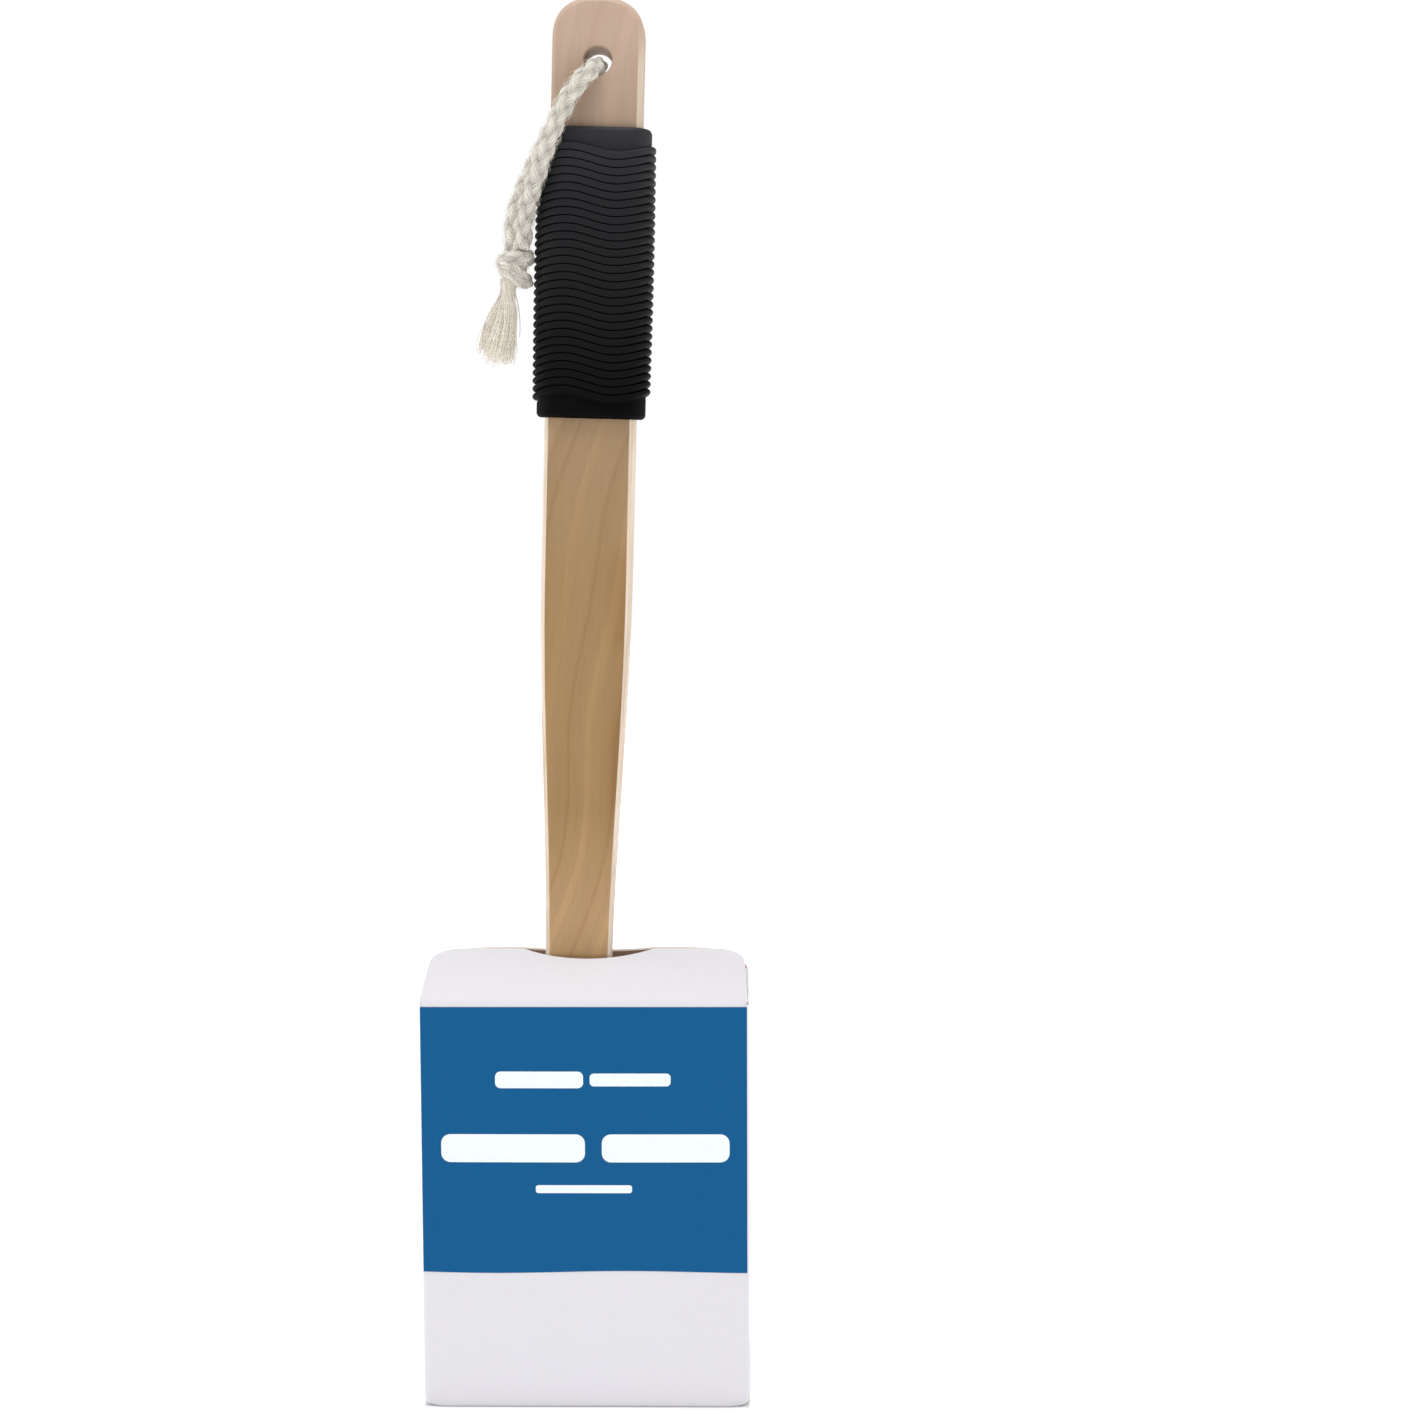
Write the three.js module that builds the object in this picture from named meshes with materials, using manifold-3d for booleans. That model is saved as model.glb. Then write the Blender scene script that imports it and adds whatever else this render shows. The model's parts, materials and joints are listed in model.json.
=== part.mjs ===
// A long-handled loofah back scrubber, standing head-down in its paperboard carton.
// Millimetres, +Z up, the front faces -Y. The origin is the centre of the carton's underside.

import * as THREE from 'three';
import { mergeVertices } from 'three/addons/utils/BufferGeometryUtils.js';
import Module from 'manifold-3d';

const wasm = await Module();
wasm.setup();

// Clearances
const GAP = 0.3;

// Carton
const CARTON_WIDTH = 101;
const CARTON_DEPTH = 60;
const WALL_HEIGHT = 127.2;
const SIDE_WALL_DROP = 1.2;
const BOARD = 0.6;
const CREASE_RISE = 0.6;
const ROOF_SLOPE = THREE.MathUtils.degToRad(20.5);
const FRONT_ROOF = { rootWidth: 100.4, edgeWidth: 95.6, cornerRadius: 6 };
const REAR_ROOF = { rootWidth: 95.2, edgeWidth: 88, cornerRadius: 14 };
const NOTCH_WIDTH = 41;
const NOTCH_DEPTH = 6.5;
const DUST_FLAP_LENGTH = 26;
const DUST_FLAP_ROOT = 27;
const DUST_FLAP_TIP = 14;
const DUST_CORNER_RADIUS = 4;
const GLUE_TAB_WIDTH = 14;
const GLUE_TAB_LIFT = 4;
const INNER_FLAP_REACH = 46;
const BOTTOM_DUST_REACH = 36;

// Front label
const LABEL_WIDTH = 100;
const LABEL_LOW = 42.8;
const LABEL_HIGH = 126.2;
const LABEL_THICKNESS = 0.2;
const LABEL_WAVE = 0.4;

// Brush, in its own frame: z is 0 at the foot of the head and runs up the handle
const BRUSH_LENGTH = 429;
const BRUSH_LEAN = THREE.MathUtils.degToRad(1.72);
const SHAFT_OFFSET_AT_ROOF = -3;
const HEAD_LIFT = 3.2;

// Handle
const HANDLE_HALF_WIDTH = 14;
const HANDLE_THICKNESS = 12;
const EDGE_ROUND = 2;
const END_HEIGHT = 13;
const END_EXPONENT = 2.45;
const TAPER_TOP = 255;
const TAPER_FOOT = 135;
const NECK_HALF_WIDTH = 10.4;
const NECK_THICKNESS = 8.6;
const TONGUE_TOP = 92;
const TONGUE_FOOT = 40;
const TONGUE_HALF_WIDTH = 8;
const TONGUE_THICKNESS = 8;
const HOLE_DEPTH_FROM_TOP = 19.6;
const HOLE_RADIUS = 4.3;
const HOLE_CHAMFER = 1.1;

// Grip sleeve
const GRIP_FOOT = 301.9;
const GRIP_TOP = 390.1;
const GRIP_BAND = 5.5;
const GRIP_BAND_HALF_WIDTH = 16.8;
const GRIP_RIB_HEIGHT = 1.4;
const GRIP_WALL = 2.8;
const GRIP_CORNER_RADIUS = 7.6;

// Scrubbing head
const HEAD_WIDTH = 86;
const HEAD_HEIGHT = 108;
const HEAD_THICKNESS = 38;
const HEAD_CORNER_RADIUS = 38;
const COVER_THICKNESS = 5;
const BINDING_WIDTH = 8;
const RIVET_RADIUS = 1.2;
const RIVET_HEAD_RADIUS = 4;
const RIVET_HEAD_THICKNESS = 0.8;
const RIVET_LENGTH = 24;
const RIVET_HEIGHTS = { pad_rivet_upper: 78, pad_rivet_lower: 54 };

// Rope, measured from the centre of the handle's hole
const ROPE_DIAMETER = 5.6;
const ROPE_SIDES = 10;
const ROPE_STEPS = 44;
const ROPE_ROUTE = [
  [-21.9, -3.6, -56.2], [-21.8, -3.9, -53.2], [-21.3, -5.0, -48.3], [-20.0, -7.4, -42.2],
  [-17.9, -10.2, -36.1], [-15.9, -11.8, -29.9], [-13.8, -12.3, -23.8], [-11.3, -12.3, -17.7],
  [-8.7, -12.1, -12.2], [-6.4, -11.6, -8.4], [-4.4, -10.6, -5.6], [-2.8, -9.1, -3.7],
  [-1.4, -7.2, -2.0], [-0.5, -4.3, -0.9], [0, 0, -0.6], [-0.5, 4.3, -0.9],
  [-1.5, 7.2, -1.9], [-3.1, 9.1, -3.5], [-4.9, 10.6, -5.3], [-7.1, 11.6, -7.9],
  [-10.0, 12.1, -11.6], [-13.3, 12.3, -17.0], [-16.4, 12.2, -22.4], [-19.2, 11.6, -28.0],
  [-21.6, 10.2, -33.6], [-23.6, 8.2, -39.0], [-25.0, 6.2, -44.4], [-25.6, 4.8, -49.6],
  [-25.5, 4.1, -53.4], [-25.1, 3.8, -56.2],
];
const KNOT_CENTRE = [-24.2, 0, -62.2];
const KNOT_RADII = [5.6, 6.2, 5.6];
const ROPE_TAILS = {
  rope_tail_front: { from: [-25.2, -2.9, -68.6], to: [-27.8, -4.5, -91.5] },
  rope_tail_rear: { from: [-26.4, 2.9, -68.6], to: [-31.2, 4.5, -89.5] },
};
const TAIL_NECK_RADIUS = 2.4;
const TAIL_END_RADIUS = 4.2;

const finishes = {
  wood: { color: 0xb0895f, roughness: 0.55, metalness: 0 },
  rubber: { color: 0x1e2023, roughness: 0.6, metalness: 0 },
  cotton: { color: 0xd8d1c2, roughness: 0.95, metalness: 0 },
  loofah: { color: 0xd3b97f, roughness: 0.95, metalness: 0 },
  foam: { color: 0xe9e2c8, roughness: 0.95, metalness: 0 },
  binding: { color: 0xe4dcc8, roughness: 0.9, metalness: 0 },
  steel: { color: 0xb9bcc0, roughness: 0.35, metalness: 1 },
  board: { color: 0xeae8ec, roughness: 0.5, metalness: 0 },
  label: { color: 0x1a6094, roughness: 0.4, metalness: 0 },
};

function addPiece(group, name, geometry, finish) {
  const mesh = new THREE.Mesh(geometry, new THREE.MeshStandardMaterial(finishes[finish]));
  mesh.name = name;
  group.add(mesh);
  return mesh;
}

function solidFrom(geometry) {
  const bare = geometry.clone();
  bare.deleteAttribute('normal');
  bare.deleteAttribute('uv');
  const merged = mergeVertices(bare, 1e-4);
  return new wasm.Manifold(new wasm.Mesh({
    numProp: 3,
    vertProperties: new Float32Array(merged.attributes.position.array),
    triVerts: new Uint32Array(merged.index.array),
  }));
}

function geometryFrom(solid) {
  const { vertProperties, triVerts } = solid.getMesh();
  const geometry = new THREE.BufferGeometry();
  geometry.setAttribute('position', new THREE.BufferAttribute(vertProperties, 3));
  geometry.setIndex(new THREE.BufferAttribute(triVerts, 1));
  geometry.computeVertexNormals();
  return geometry;
}

function block(low, high) {
  const size = high.map((value, axis) => value - low[axis]);
  const centre = high.map((value, axis) => (value + low[axis]) / 2);
  return new THREE.BoxGeometry(...size).translate(...centre);
}

function roundedRectangle(halfWidth, halfHeight, radius) {
  const shape = new THREE.Shape();
  const x = halfWidth - radius;
  const y = halfHeight - radius;
  shape.moveTo(-x, -halfHeight);
  shape.lineTo(x, -halfHeight);
  shape.absarc(x, -y, radius, -Math.PI / 2, 0, false);
  shape.lineTo(halfWidth, y);
  shape.absarc(x, y, radius, 0, Math.PI / 2, false);
  shape.lineTo(-x, halfHeight);
  shape.absarc(-x, y, radius, Math.PI / 2, Math.PI, false);
  shape.lineTo(-halfWidth, -y);
  shape.absarc(-x, -y, radius, Math.PI, 1.5 * Math.PI, false);
  return shape;
}

// Carton ----------------------------------------------------------------------------------

const outerX = CARTON_WIDTH / 2;
const innerX = outerX - BOARD;
const backY = CARTON_DEPTH / 2;
const frontY = -CARTON_DEPTH / 2 + LABEL_THICKNESS + GAP;
const sideTop = WALL_HEIGHT - SIDE_WALL_DROP;
const innerFrontY = frontY + BOARD + GAP;
const innerBackY = backY - BOARD - GAP;

// The creases that the top flaps turn on run along the middle of the board.
const frontCrease = frontY + BOARD / 2;
const backCrease = backY - BOARD / 2;
const sideCrease = outerX - BOARD / 2;

function addWalls(carton) {
  const frontHigh = [outerX, frontY + BOARD, WALL_HEIGHT];
  addPiece(carton, 'front_panel', block([-outerX, frontY, 0], frontHigh), 'board');
  addPiece(carton, 'back_panel', block([-outerX, backY - BOARD, 0], [outerX, backY, WALL_HEIGHT]), 'board');
  addPiece(carton, 'left_panel', block([-outerX, innerFrontY, 0], [-innerX, innerBackY, sideTop]), 'board');
  addPiece(carton, 'right_panel', block([innerX, innerFrontY, 0], [outerX, innerBackY, sideTop]), 'board');
  const tabLow = [-innerX + GAP, innerBackY - BOARD, GLUE_TAB_LIFT];
  const tabHigh = [-innerX + GLUE_TAB_WIDTH, innerBackY, sideTop - GLUE_TAB_LIFT];
  addPiece(carton, 'glue_tab', block(tabLow, tabHigh), 'board');
}

function addBottom(carton) {
  const reach = innerX - GAP;
  const layer = (order) => order * (BOARD + GAP);
  const flap = (name, order, x0, x1, y0, y1) => addPiece(
    carton, name, block([x0, y0, layer(order)], [x1, y1, layer(order) + BOARD]), 'board');
  flap('bottom_outer_flap', 0, -reach, reach, innerFrontY, innerBackY);
  flap('bottom_inner_flap', 1, -reach, reach, innerBackY - INNER_FLAP_REACH, innerBackY);
  flap('bottom_left_dust_flap', 2, -reach, BOTTOM_DUST_REACH - reach, innerFrontY, innerBackY);
  flap('bottom_right_dust_flap', 2, reach - BOTTOM_DUST_REACH, reach, innerFrontY, innerBackY);
}

function addLabel(carton) {
  const half = LABEL_WIDTH / 2;
  const shape = new THREE.Shape();
  shape.moveTo(-half, LABEL_LOW);
  shape.bezierCurveTo(-half / 3, LABEL_LOW - LABEL_WAVE, half / 3, LABEL_LOW + LABEL_WAVE, half, LABEL_LOW);
  shape.lineTo(half, LABEL_HIGH);
  shape.lineTo(-half, LABEL_HIGH);
  const options = { depth: LABEL_THICKNESS, bevelEnabled: false, curveSegments: 10 };
  const geometry = new THREE.ExtrudeGeometry(shape, options).rotateX(Math.PI / 2);
  geometry.translate(0, LABEL_THICKNESS - CARTON_DEPTH / 2, 0);
  addPiece(carton, 'front_label', geometry, 'label');
}

// A flap lies in X and Y, with its crease along X at the origin and its free edge towards +Y.
function flapGeometry(shape) {
  const options = { depth: BOARD, bevelEnabled: false, curveSegments: 5 };
  return new THREE.ExtrudeGeometry(shape, options).translate(0, 0, -BOARD / 2);
}

function roofFlapShape(length, { rootWidth, edgeWidth, cornerRadius }) {
  const root = rootWidth / 2;
  const edge = edgeWidth / 2;
  const radius = cornerRadius;
  const notchRadius = ((NOTCH_WIDTH / 2) ** 2 + NOTCH_DEPTH ** 2) / (2 * NOTCH_DEPTH);
  const notchAngle = Math.asin(NOTCH_WIDTH / 2 / notchRadius);
  const notchCentre = length - NOTCH_DEPTH + notchRadius;
  const shape = new THREE.Shape();
  shape.moveTo(-root, GAP);
  shape.lineTo(root, GAP);
  shape.lineTo(edge, length - radius);
  shape.absarc(edge - radius, length - radius, radius, 0, Math.PI / 2, false);
  shape.absarc(0, notchCentre, notchRadius, notchAngle - Math.PI / 2, -notchAngle - Math.PI / 2, true);
  shape.absarc(radius - edge, length - radius, radius, Math.PI / 2, Math.PI, false);
  return shape;
}

function dustFlapShape() {
  const radius = DUST_CORNER_RADIUS;
  const shape = new THREE.Shape();
  shape.moveTo(-DUST_FLAP_ROOT, GAP);
  shape.lineTo(DUST_FLAP_ROOT, GAP);
  shape.lineTo(DUST_FLAP_TIP, DUST_FLAP_LENGTH - radius);
  shape.absarc(DUST_FLAP_TIP - radius, DUST_FLAP_LENGTH - radius, radius, 0, Math.PI / 2, false);
  shape.absarc(radius - DUST_FLAP_TIP, DUST_FLAP_LENGTH - radius, radius, Math.PI / 2, Math.PI, false);
  return shape;
}

// The crease is placed at a wall's top, the flap is turned to face inwards, then tilted up.
function addFlap(group, name, shape, crease, turn, tilt) {
  const hinge = new THREE.Group();
  hinge.position.set(...crease);
  hinge.rotation.z = turn;
  const flap = addPiece(hinge, name, flapGeometry(shape), 'board');
  flap.rotation.x = tilt;
  group.add(hinge);
}

function addTopFlaps(group) {
  const creaseZ = WALL_HEIGHT + CREASE_RISE;
  const edgeGap = 2 * GAP;
  const roof = (creaseY, cut) => roofFlapShape((Math.abs(creaseY) - edgeGap) / Math.cos(ROOF_SLOPE), cut);
  const front = roof(frontCrease, FRONT_ROOF);
  const rear = roof(backCrease, REAR_ROOF);
  addFlap(group, 'front_roof_flap', front, [0, frontCrease, creaseZ], 0, ROOF_SLOPE);
  addFlap(group, 'rear_roof_flap', rear, [0, backCrease, creaseZ], Math.PI, ROOF_SLOPE);
  const dustZ = sideTop + CREASE_RISE;
  addFlap(group, 'left_dust_flap', dustFlapShape(), [-sideCrease, 0, dustZ], -Math.PI / 2, 0);
  addFlap(group, 'right_dust_flap', dustFlapShape(), [sideCrease, 0, dustZ], Math.PI / 2, 0);
}

// Handle ----------------------------------------------------------------------------------

const smooth = THREE.MathUtils.smoothstep;

// Half of the handle's outline, from the middle of its rounded top down to the tongue's foot.
function handleHalfOutline() {
  const points = [];
  const shoulder = BRUSH_LENGTH - END_HEIGHT;
  const endSteps = 12;
  for (let step = 0; step <= endSteps; step += 1) {
    const angle = (step / endSteps) * (Math.PI / 2);
    const across = Math.sin(angle) ** (2 / END_EXPONENT);
    const up = Math.cos(angle) ** (2 / END_EXPONENT);
    points.push(new THREE.Vector2(HANDLE_HALF_WIDTH * across, shoulder + END_HEIGHT * up));
  }
  const taper = new THREE.CubicBezierCurve(
    new THREE.Vector2(HANDLE_HALF_WIDTH, TAPER_TOP),
    new THREE.Vector2(HANDLE_HALF_WIDTH, TAPER_TOP - 47),
    new THREE.Vector2(NECK_HALF_WIDTH + 0.6, TAPER_FOOT + 42),
    new THREE.Vector2(NECK_HALF_WIDTH, TAPER_FOOT),
  );
  points.push(...taper.getPoints(12));
  points.push(new THREE.Vector2(NECK_HALF_WIDTH, HEAD_HEIGHT));
  points.push(new THREE.Vector2(TONGUE_HALF_WIDTH, TONGUE_TOP));
  const footRadius = TONGUE_HALF_WIDTH;
  const footSteps = 6;
  for (let step = 0; step <= footSteps; step += 1) {
    const angle = (step / footSteps) * (Math.PI / 2);
    const drop = footRadius * (1 - Math.sin(angle));
    points.push(new THREE.Vector2(footRadius * Math.cos(angle), TONGUE_FOOT + drop));
  }
  return points;
}

function handleThicknessAt(z) {
  const neck = THREE.MathUtils.lerp(NECK_THICKNESS, HANDLE_THICKNESS, smooth(z, TAPER_FOOT, TAPER_TOP));
  return THREE.MathUtils.lerp(TONGUE_THICKNESS, neck, smooth(z, TONGUE_TOP - 1, HEAD_HEIGHT));
}

// The handle's bare form, grown all round by a clearance.
function handleForm(clearance = 0) {
  const half = handleHalfOutline();
  const left = half.slice(1, -1).reverse().map((point) => new THREE.Vector2(-point.x, point.y));
  const outline = new THREE.Shape([...half, ...left]);
  const geometry = new THREE.ExtrudeGeometry(outline, {
    depth: HANDLE_THICKNESS - 2 * EDGE_ROUND,
    bevelThickness: EDGE_ROUND + clearance,
    bevelSize: EDGE_ROUND + clearance,
    bevelOffset: -EDGE_ROUND,
    bevelSegments: 3,
  });
  geometry.translate(0, 0, EDGE_ROUND - HANDLE_THICKNESS / 2).rotateX(Math.PI / 2);
  const position = geometry.attributes.position;
  for (let index = 0; index < position.count; index += 1) {
    const squeeze = handleThicknessAt(position.getZ(index)) / HANDLE_THICKNESS;
    const extra = Math.sign(position.getY(index)) * clearance * (1 - squeeze);
    position.setY(index, position.getY(index) * squeeze + extra);
  }
  return solidFrom(geometry);
}

function ropeHole() {
  const face = HANDLE_THICKNESS / 2;
  const mouth = HOLE_RADIUS + HOLE_CHAMFER;
  const profile = [
    [0, -face - 1], [mouth + 1, -face - 1], [mouth, -face], [HOLE_RADIUS, HOLE_CHAMFER - face],
    [HOLE_RADIUS, face - HOLE_CHAMFER], [mouth, face], [mouth + 1, face + 1], [0, face + 1],
  ];
  const geometry = new THREE.LatheGeometry(profile.map(([r, y]) => new THREE.Vector2(r, y)), 28);
  return solidFrom(geometry.translate(0, 0, BRUSH_LENGTH - HOLE_DEPTH_FROM_TOP));
}

function rivetSolid(height, clearance = 0) {
  const end = RIVET_LENGTH / 2 + clearance;
  const under = RIVET_LENGTH / 2 - RIVET_HEAD_THICKNESS - clearance;
  const shank = RIVET_RADIUS + clearance;
  const head = RIVET_HEAD_RADIUS + clearance;
  const profile = [
    [0, -end], [head, -end], [head, -under], [shank, -under],
    [shank, under], [head, under], [head, end], [0, end],
  ];
  const geometry = new THREE.LatheGeometry(profile.map(([r, y]) => new THREE.Vector2(r, y)), 16);
  return solidFrom(geometry.translate(0, 0, height));
}

function addHandle(brush) {
  let handle = handleForm().subtract(ropeHole());
  for (const height of Object.values(RIVET_HEIGHTS)) {
    handle = handle.subtract(rivetSolid(height, GAP));
  }
  addPiece(brush, 'handle', geometryFrom(handle), 'wood');
}

// Grip sleeve -------------------------------------------------------------------------------

function sleeveStage(low, high, standOut) {
  const halfWidth = GRIP_BAND_HALF_WIDTH + standOut;
  const halfDepth = HANDLE_THICKNESS / 2 + GRIP_WALL + standOut;
  const shape = roundedRectangle(halfWidth, halfDepth, GRIP_CORNER_RADIUS + standOut);
  const options = { depth: high - low, bevelEnabled: false, curveSegments: 6 };
  return solidFrom(new THREE.ExtrudeGeometry(shape, options).translate(0, 0, low));
}

function addGrip(brush) {
  const sleeve = sleeveStage(GRIP_FOOT, GRIP_TOP, 0)
    .add(sleeveStage(GRIP_FOOT + GRIP_BAND, GRIP_TOP - GRIP_BAND, GRIP_RIB_HEIGHT))
    .subtract(handleForm(GAP));
  addPiece(brush, 'grip_sleeve', geometryFrom(sleeve), 'rubber');
}

// Scrubbing head ----------------------------------------------------------------------------

// A pad with the head's outline and a fully rounded rim, inset by the same amount everywhere.
function pad(inset) {
  const halfThickness = HEAD_THICKNESS / 2;
  const shape = roundedRectangle(
    HEAD_WIDTH / 2 - halfThickness, HEAD_HEIGHT / 2 - halfThickness, HEAD_CORNER_RADIUS - halfThickness);
  const rimRadius = halfThickness - inset;
  const flat = 0.6;
  const geometry = new THREE.ExtrudeGeometry(shape, {
    depth: flat,
    bevelThickness: rimRadius - flat / 2,
    bevelSize: rimRadius,
    bevelSegments: 4,
    curveSegments: 5,
  });
  geometry.translate(0, 0, -flat / 2).rotateX(Math.PI / 2).translate(0, 0, HEAD_HEIGHT / 2);
  return solidFrom(geometry);
}

function addHead(brush) {
  const halfThickness = HEAD_THICKNESS / 2;
  const binding = BINDING_WIDTH / 2;
  const reach = 2 * HEAD_HEIGHT;
  const slab = (y0, y1) => solidFrom(block([-reach, y0, -reach], [reach, y1, reach]));
  const neck = handleForm(GAP);
  const skin = pad(0).subtract(pad(COVER_THICKNESS)).subtract(neck);
  const front = skin.intersect(slab(-halfThickness - 1, -binding - GAP));
  const back = skin.intersect(slab(binding + GAP, halfThickness + 1));
  const rim = skin.intersect(slab(-binding, binding));
  addPiece(brush, 'loofah_front', geometryFrom(front), 'loofah');
  addPiece(brush, 'loofah_back', geometryFrom(back), 'loofah');
  addPiece(brush, 'edge_binding', geometryFrom(rim), 'binding');
  let core = pad(COVER_THICKNESS + GAP).subtract(neck);
  for (const [name, height] of Object.entries(RIVET_HEIGHTS)) {
    core = core.subtract(rivetSolid(height, GAP));
    addPiece(brush, name, geometryFrom(rivetSolid(height)), 'steel');
  }
  addPiece(brush, 'foam_core', geometryFrom(core), 'foam');
}

// Rope --------------------------------------------------------------------------------------

function addTail(rope, name, { from, to }) {
  const start = new THREE.Vector3(...from);
  const along = new THREE.Vector3(...to).sub(start);
  const length = along.length();
  const profile = [
    [0, 0],
    [TAIL_NECK_RADIUS, 0],
    [TAIL_END_RADIUS, length * 0.8],
    [TAIL_END_RADIUS * 0.7, length],
    [0, length],
  ];
  const geometry = new THREE.LatheGeometry(profile.map(([r, y]) => new THREE.Vector2(r, y)), ROPE_SIDES);
  const tail = addPiece(rope, name, geometry, 'cotton');
  tail.position.copy(start);
  tail.quaternion.setFromUnitVectors(new THREE.Vector3(0, 1, 0), along.normalize());
}

function addRope(brush) {
  const rope = new THREE.Group();
  rope.position.z = BRUSH_LENGTH - HOLE_DEPTH_FROM_TOP;
  const section = new THREE.Shape(Array.from({ length: ROPE_SIDES }, (_, side) => {
    const angle = (side / ROPE_SIDES) * 2 * Math.PI;
    return new THREE.Vector2(Math.cos(angle), Math.sin(angle)).multiplyScalar(ROPE_DIAMETER / 2);
  }));
  const route = new THREE.CatmullRomCurve3(ROPE_ROUTE.map((point) => new THREE.Vector3(...point)));
  const options = { steps: ROPE_STEPS, extrudePath: route, bevelEnabled: false };
  addPiece(rope, 'hang_rope', new THREE.ExtrudeGeometry(section, options), 'cotton');
  const knotForm = new THREE.SphereGeometry(1, 14, 10).scale(...KNOT_RADII);
  const knot = addPiece(rope, 'rope_knot', knotForm, 'cotton');
  knot.position.set(...KNOT_CENTRE);
  for (const [name, ends] of Object.entries(ROPE_TAILS)) {
    addTail(rope, name, ends);
  }
  brush.add(rope);
}

// Assembly ----------------------------------------------------------------------------------

function buildBrush() {
  const brush = new THREE.Group();
  addHandle(brush);
  addGrip(brush);
  addHead(brush);
  addRope(brush);
  const ridgeHeight = WALL_HEIGHT + CREASE_RISE + Math.abs(frontCrease) * Math.tan(ROOF_SLOPE);
  const footX = SHAFT_OFFSET_AT_ROOF - (ridgeHeight - HEAD_LIFT) * Math.tan(BRUSH_LEAN);
  brush.position.set(footX, 0, HEAD_LIFT);
  brush.rotation.y = BRUSH_LEAN;
  return brush;
}

function buildCarton() {
  const carton = new THREE.Group();
  addWalls(carton);
  addBottom(carton);
  addLabel(carton);
  addTopFlaps(carton);
  return carton;
}

const scrubber = new THREE.Group();
scrubber.add(buildCarton());
scrubber.add(buildBrush());

export default scrubber;
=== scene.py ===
import contextlib
import json
import math
import random

import bmesh
import bpy
import numpy as np
from mathutils import Matrix, Vector


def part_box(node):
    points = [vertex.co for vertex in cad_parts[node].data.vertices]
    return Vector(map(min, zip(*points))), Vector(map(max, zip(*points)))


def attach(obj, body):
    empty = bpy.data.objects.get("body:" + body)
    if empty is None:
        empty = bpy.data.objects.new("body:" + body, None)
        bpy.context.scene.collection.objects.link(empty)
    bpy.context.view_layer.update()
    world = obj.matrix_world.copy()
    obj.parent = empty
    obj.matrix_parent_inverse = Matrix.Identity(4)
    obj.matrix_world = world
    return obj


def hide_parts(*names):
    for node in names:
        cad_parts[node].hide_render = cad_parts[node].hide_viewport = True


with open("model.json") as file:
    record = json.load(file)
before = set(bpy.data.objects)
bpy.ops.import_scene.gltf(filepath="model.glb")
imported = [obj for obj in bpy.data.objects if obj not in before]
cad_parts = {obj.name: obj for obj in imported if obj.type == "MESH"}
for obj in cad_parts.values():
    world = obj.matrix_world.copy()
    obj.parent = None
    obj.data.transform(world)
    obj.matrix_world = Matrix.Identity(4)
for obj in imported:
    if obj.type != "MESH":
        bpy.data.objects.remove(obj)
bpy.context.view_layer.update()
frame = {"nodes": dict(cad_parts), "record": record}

# The script works in millimetres and turns them into metres where a mesh or an object is made.
MM = 0.001

# --- The frame's driving places ---

joints = {joint["name"]: joint for joint in frame["record"]["behaviour"]["joints"]}
HOLE = Vector(joints["rope_swing"]["pos_m"])
BRUSH_AXIS = Vector(joints["brush_lift"]["axis"]).normalized()
HOLE_HEIGHT = 409.4
BRUSH_LENGTH = 429
HANDLE_THICKNESS = 12.0
GRIP_FOOT = 301.9
GRIP_TOP = 390.1
LEAN = math.atan2(BRUSH_AXIS.x, BRUSH_AXIS.z)
BRUSH_FOOT = HOLE - BRUSH_AXIS * HOLE_HEIGHT * MM
BRUSH = Matrix.Translation(BRUSH_FOOT) @ Matrix.Rotation(LEAN, 4, "Y")
ROPE = Matrix.Translation(HOLE) @ Matrix.Rotation(LEAN, 4, "Y")

carton_low = np.array(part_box("front_panel")[0]) / MM
carton_high = np.array(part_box("back_panel")[1]) / MM
WALL_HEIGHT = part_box("front_panel")[1][2] / MM
SIDE_WALL_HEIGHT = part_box("left_panel")[1][2] / MM


# --- Camera ---

CAMERA_PLACE = Vector((0.0518, -0.826, 0.300))
CAMERA_YAW = math.radians(-0.995)
CAMERA_PITCH = math.radians(-5.848)
CAMERA_ROLL = math.radians(-0.194)
CAMERA_ANGLE = math.radians(29.797)


def add_camera():
    camera = bpy.data.objects.new("camera", bpy.data.cameras.new("camera"))
    bpy.context.scene.collection.objects.link(camera)
    heading = Matrix.Rotation(-CAMERA_YAW, 4, "Z")
    tilt = Matrix.Rotation(math.pi / 2 + CAMERA_PITCH, 4, "X")
    roll = Matrix.Rotation(CAMERA_ROLL, 4, "Z")
    camera.matrix_world = Matrix.Translation(CAMERA_PLACE) @ heading @ tilt @ roll
    camera.data.angle = CAMERA_ANGLE
    camera.data.clip_start = 0.01
    bpy.context.scene.camera = camera


add_camera()


# --- Mesh helpers ---

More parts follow.
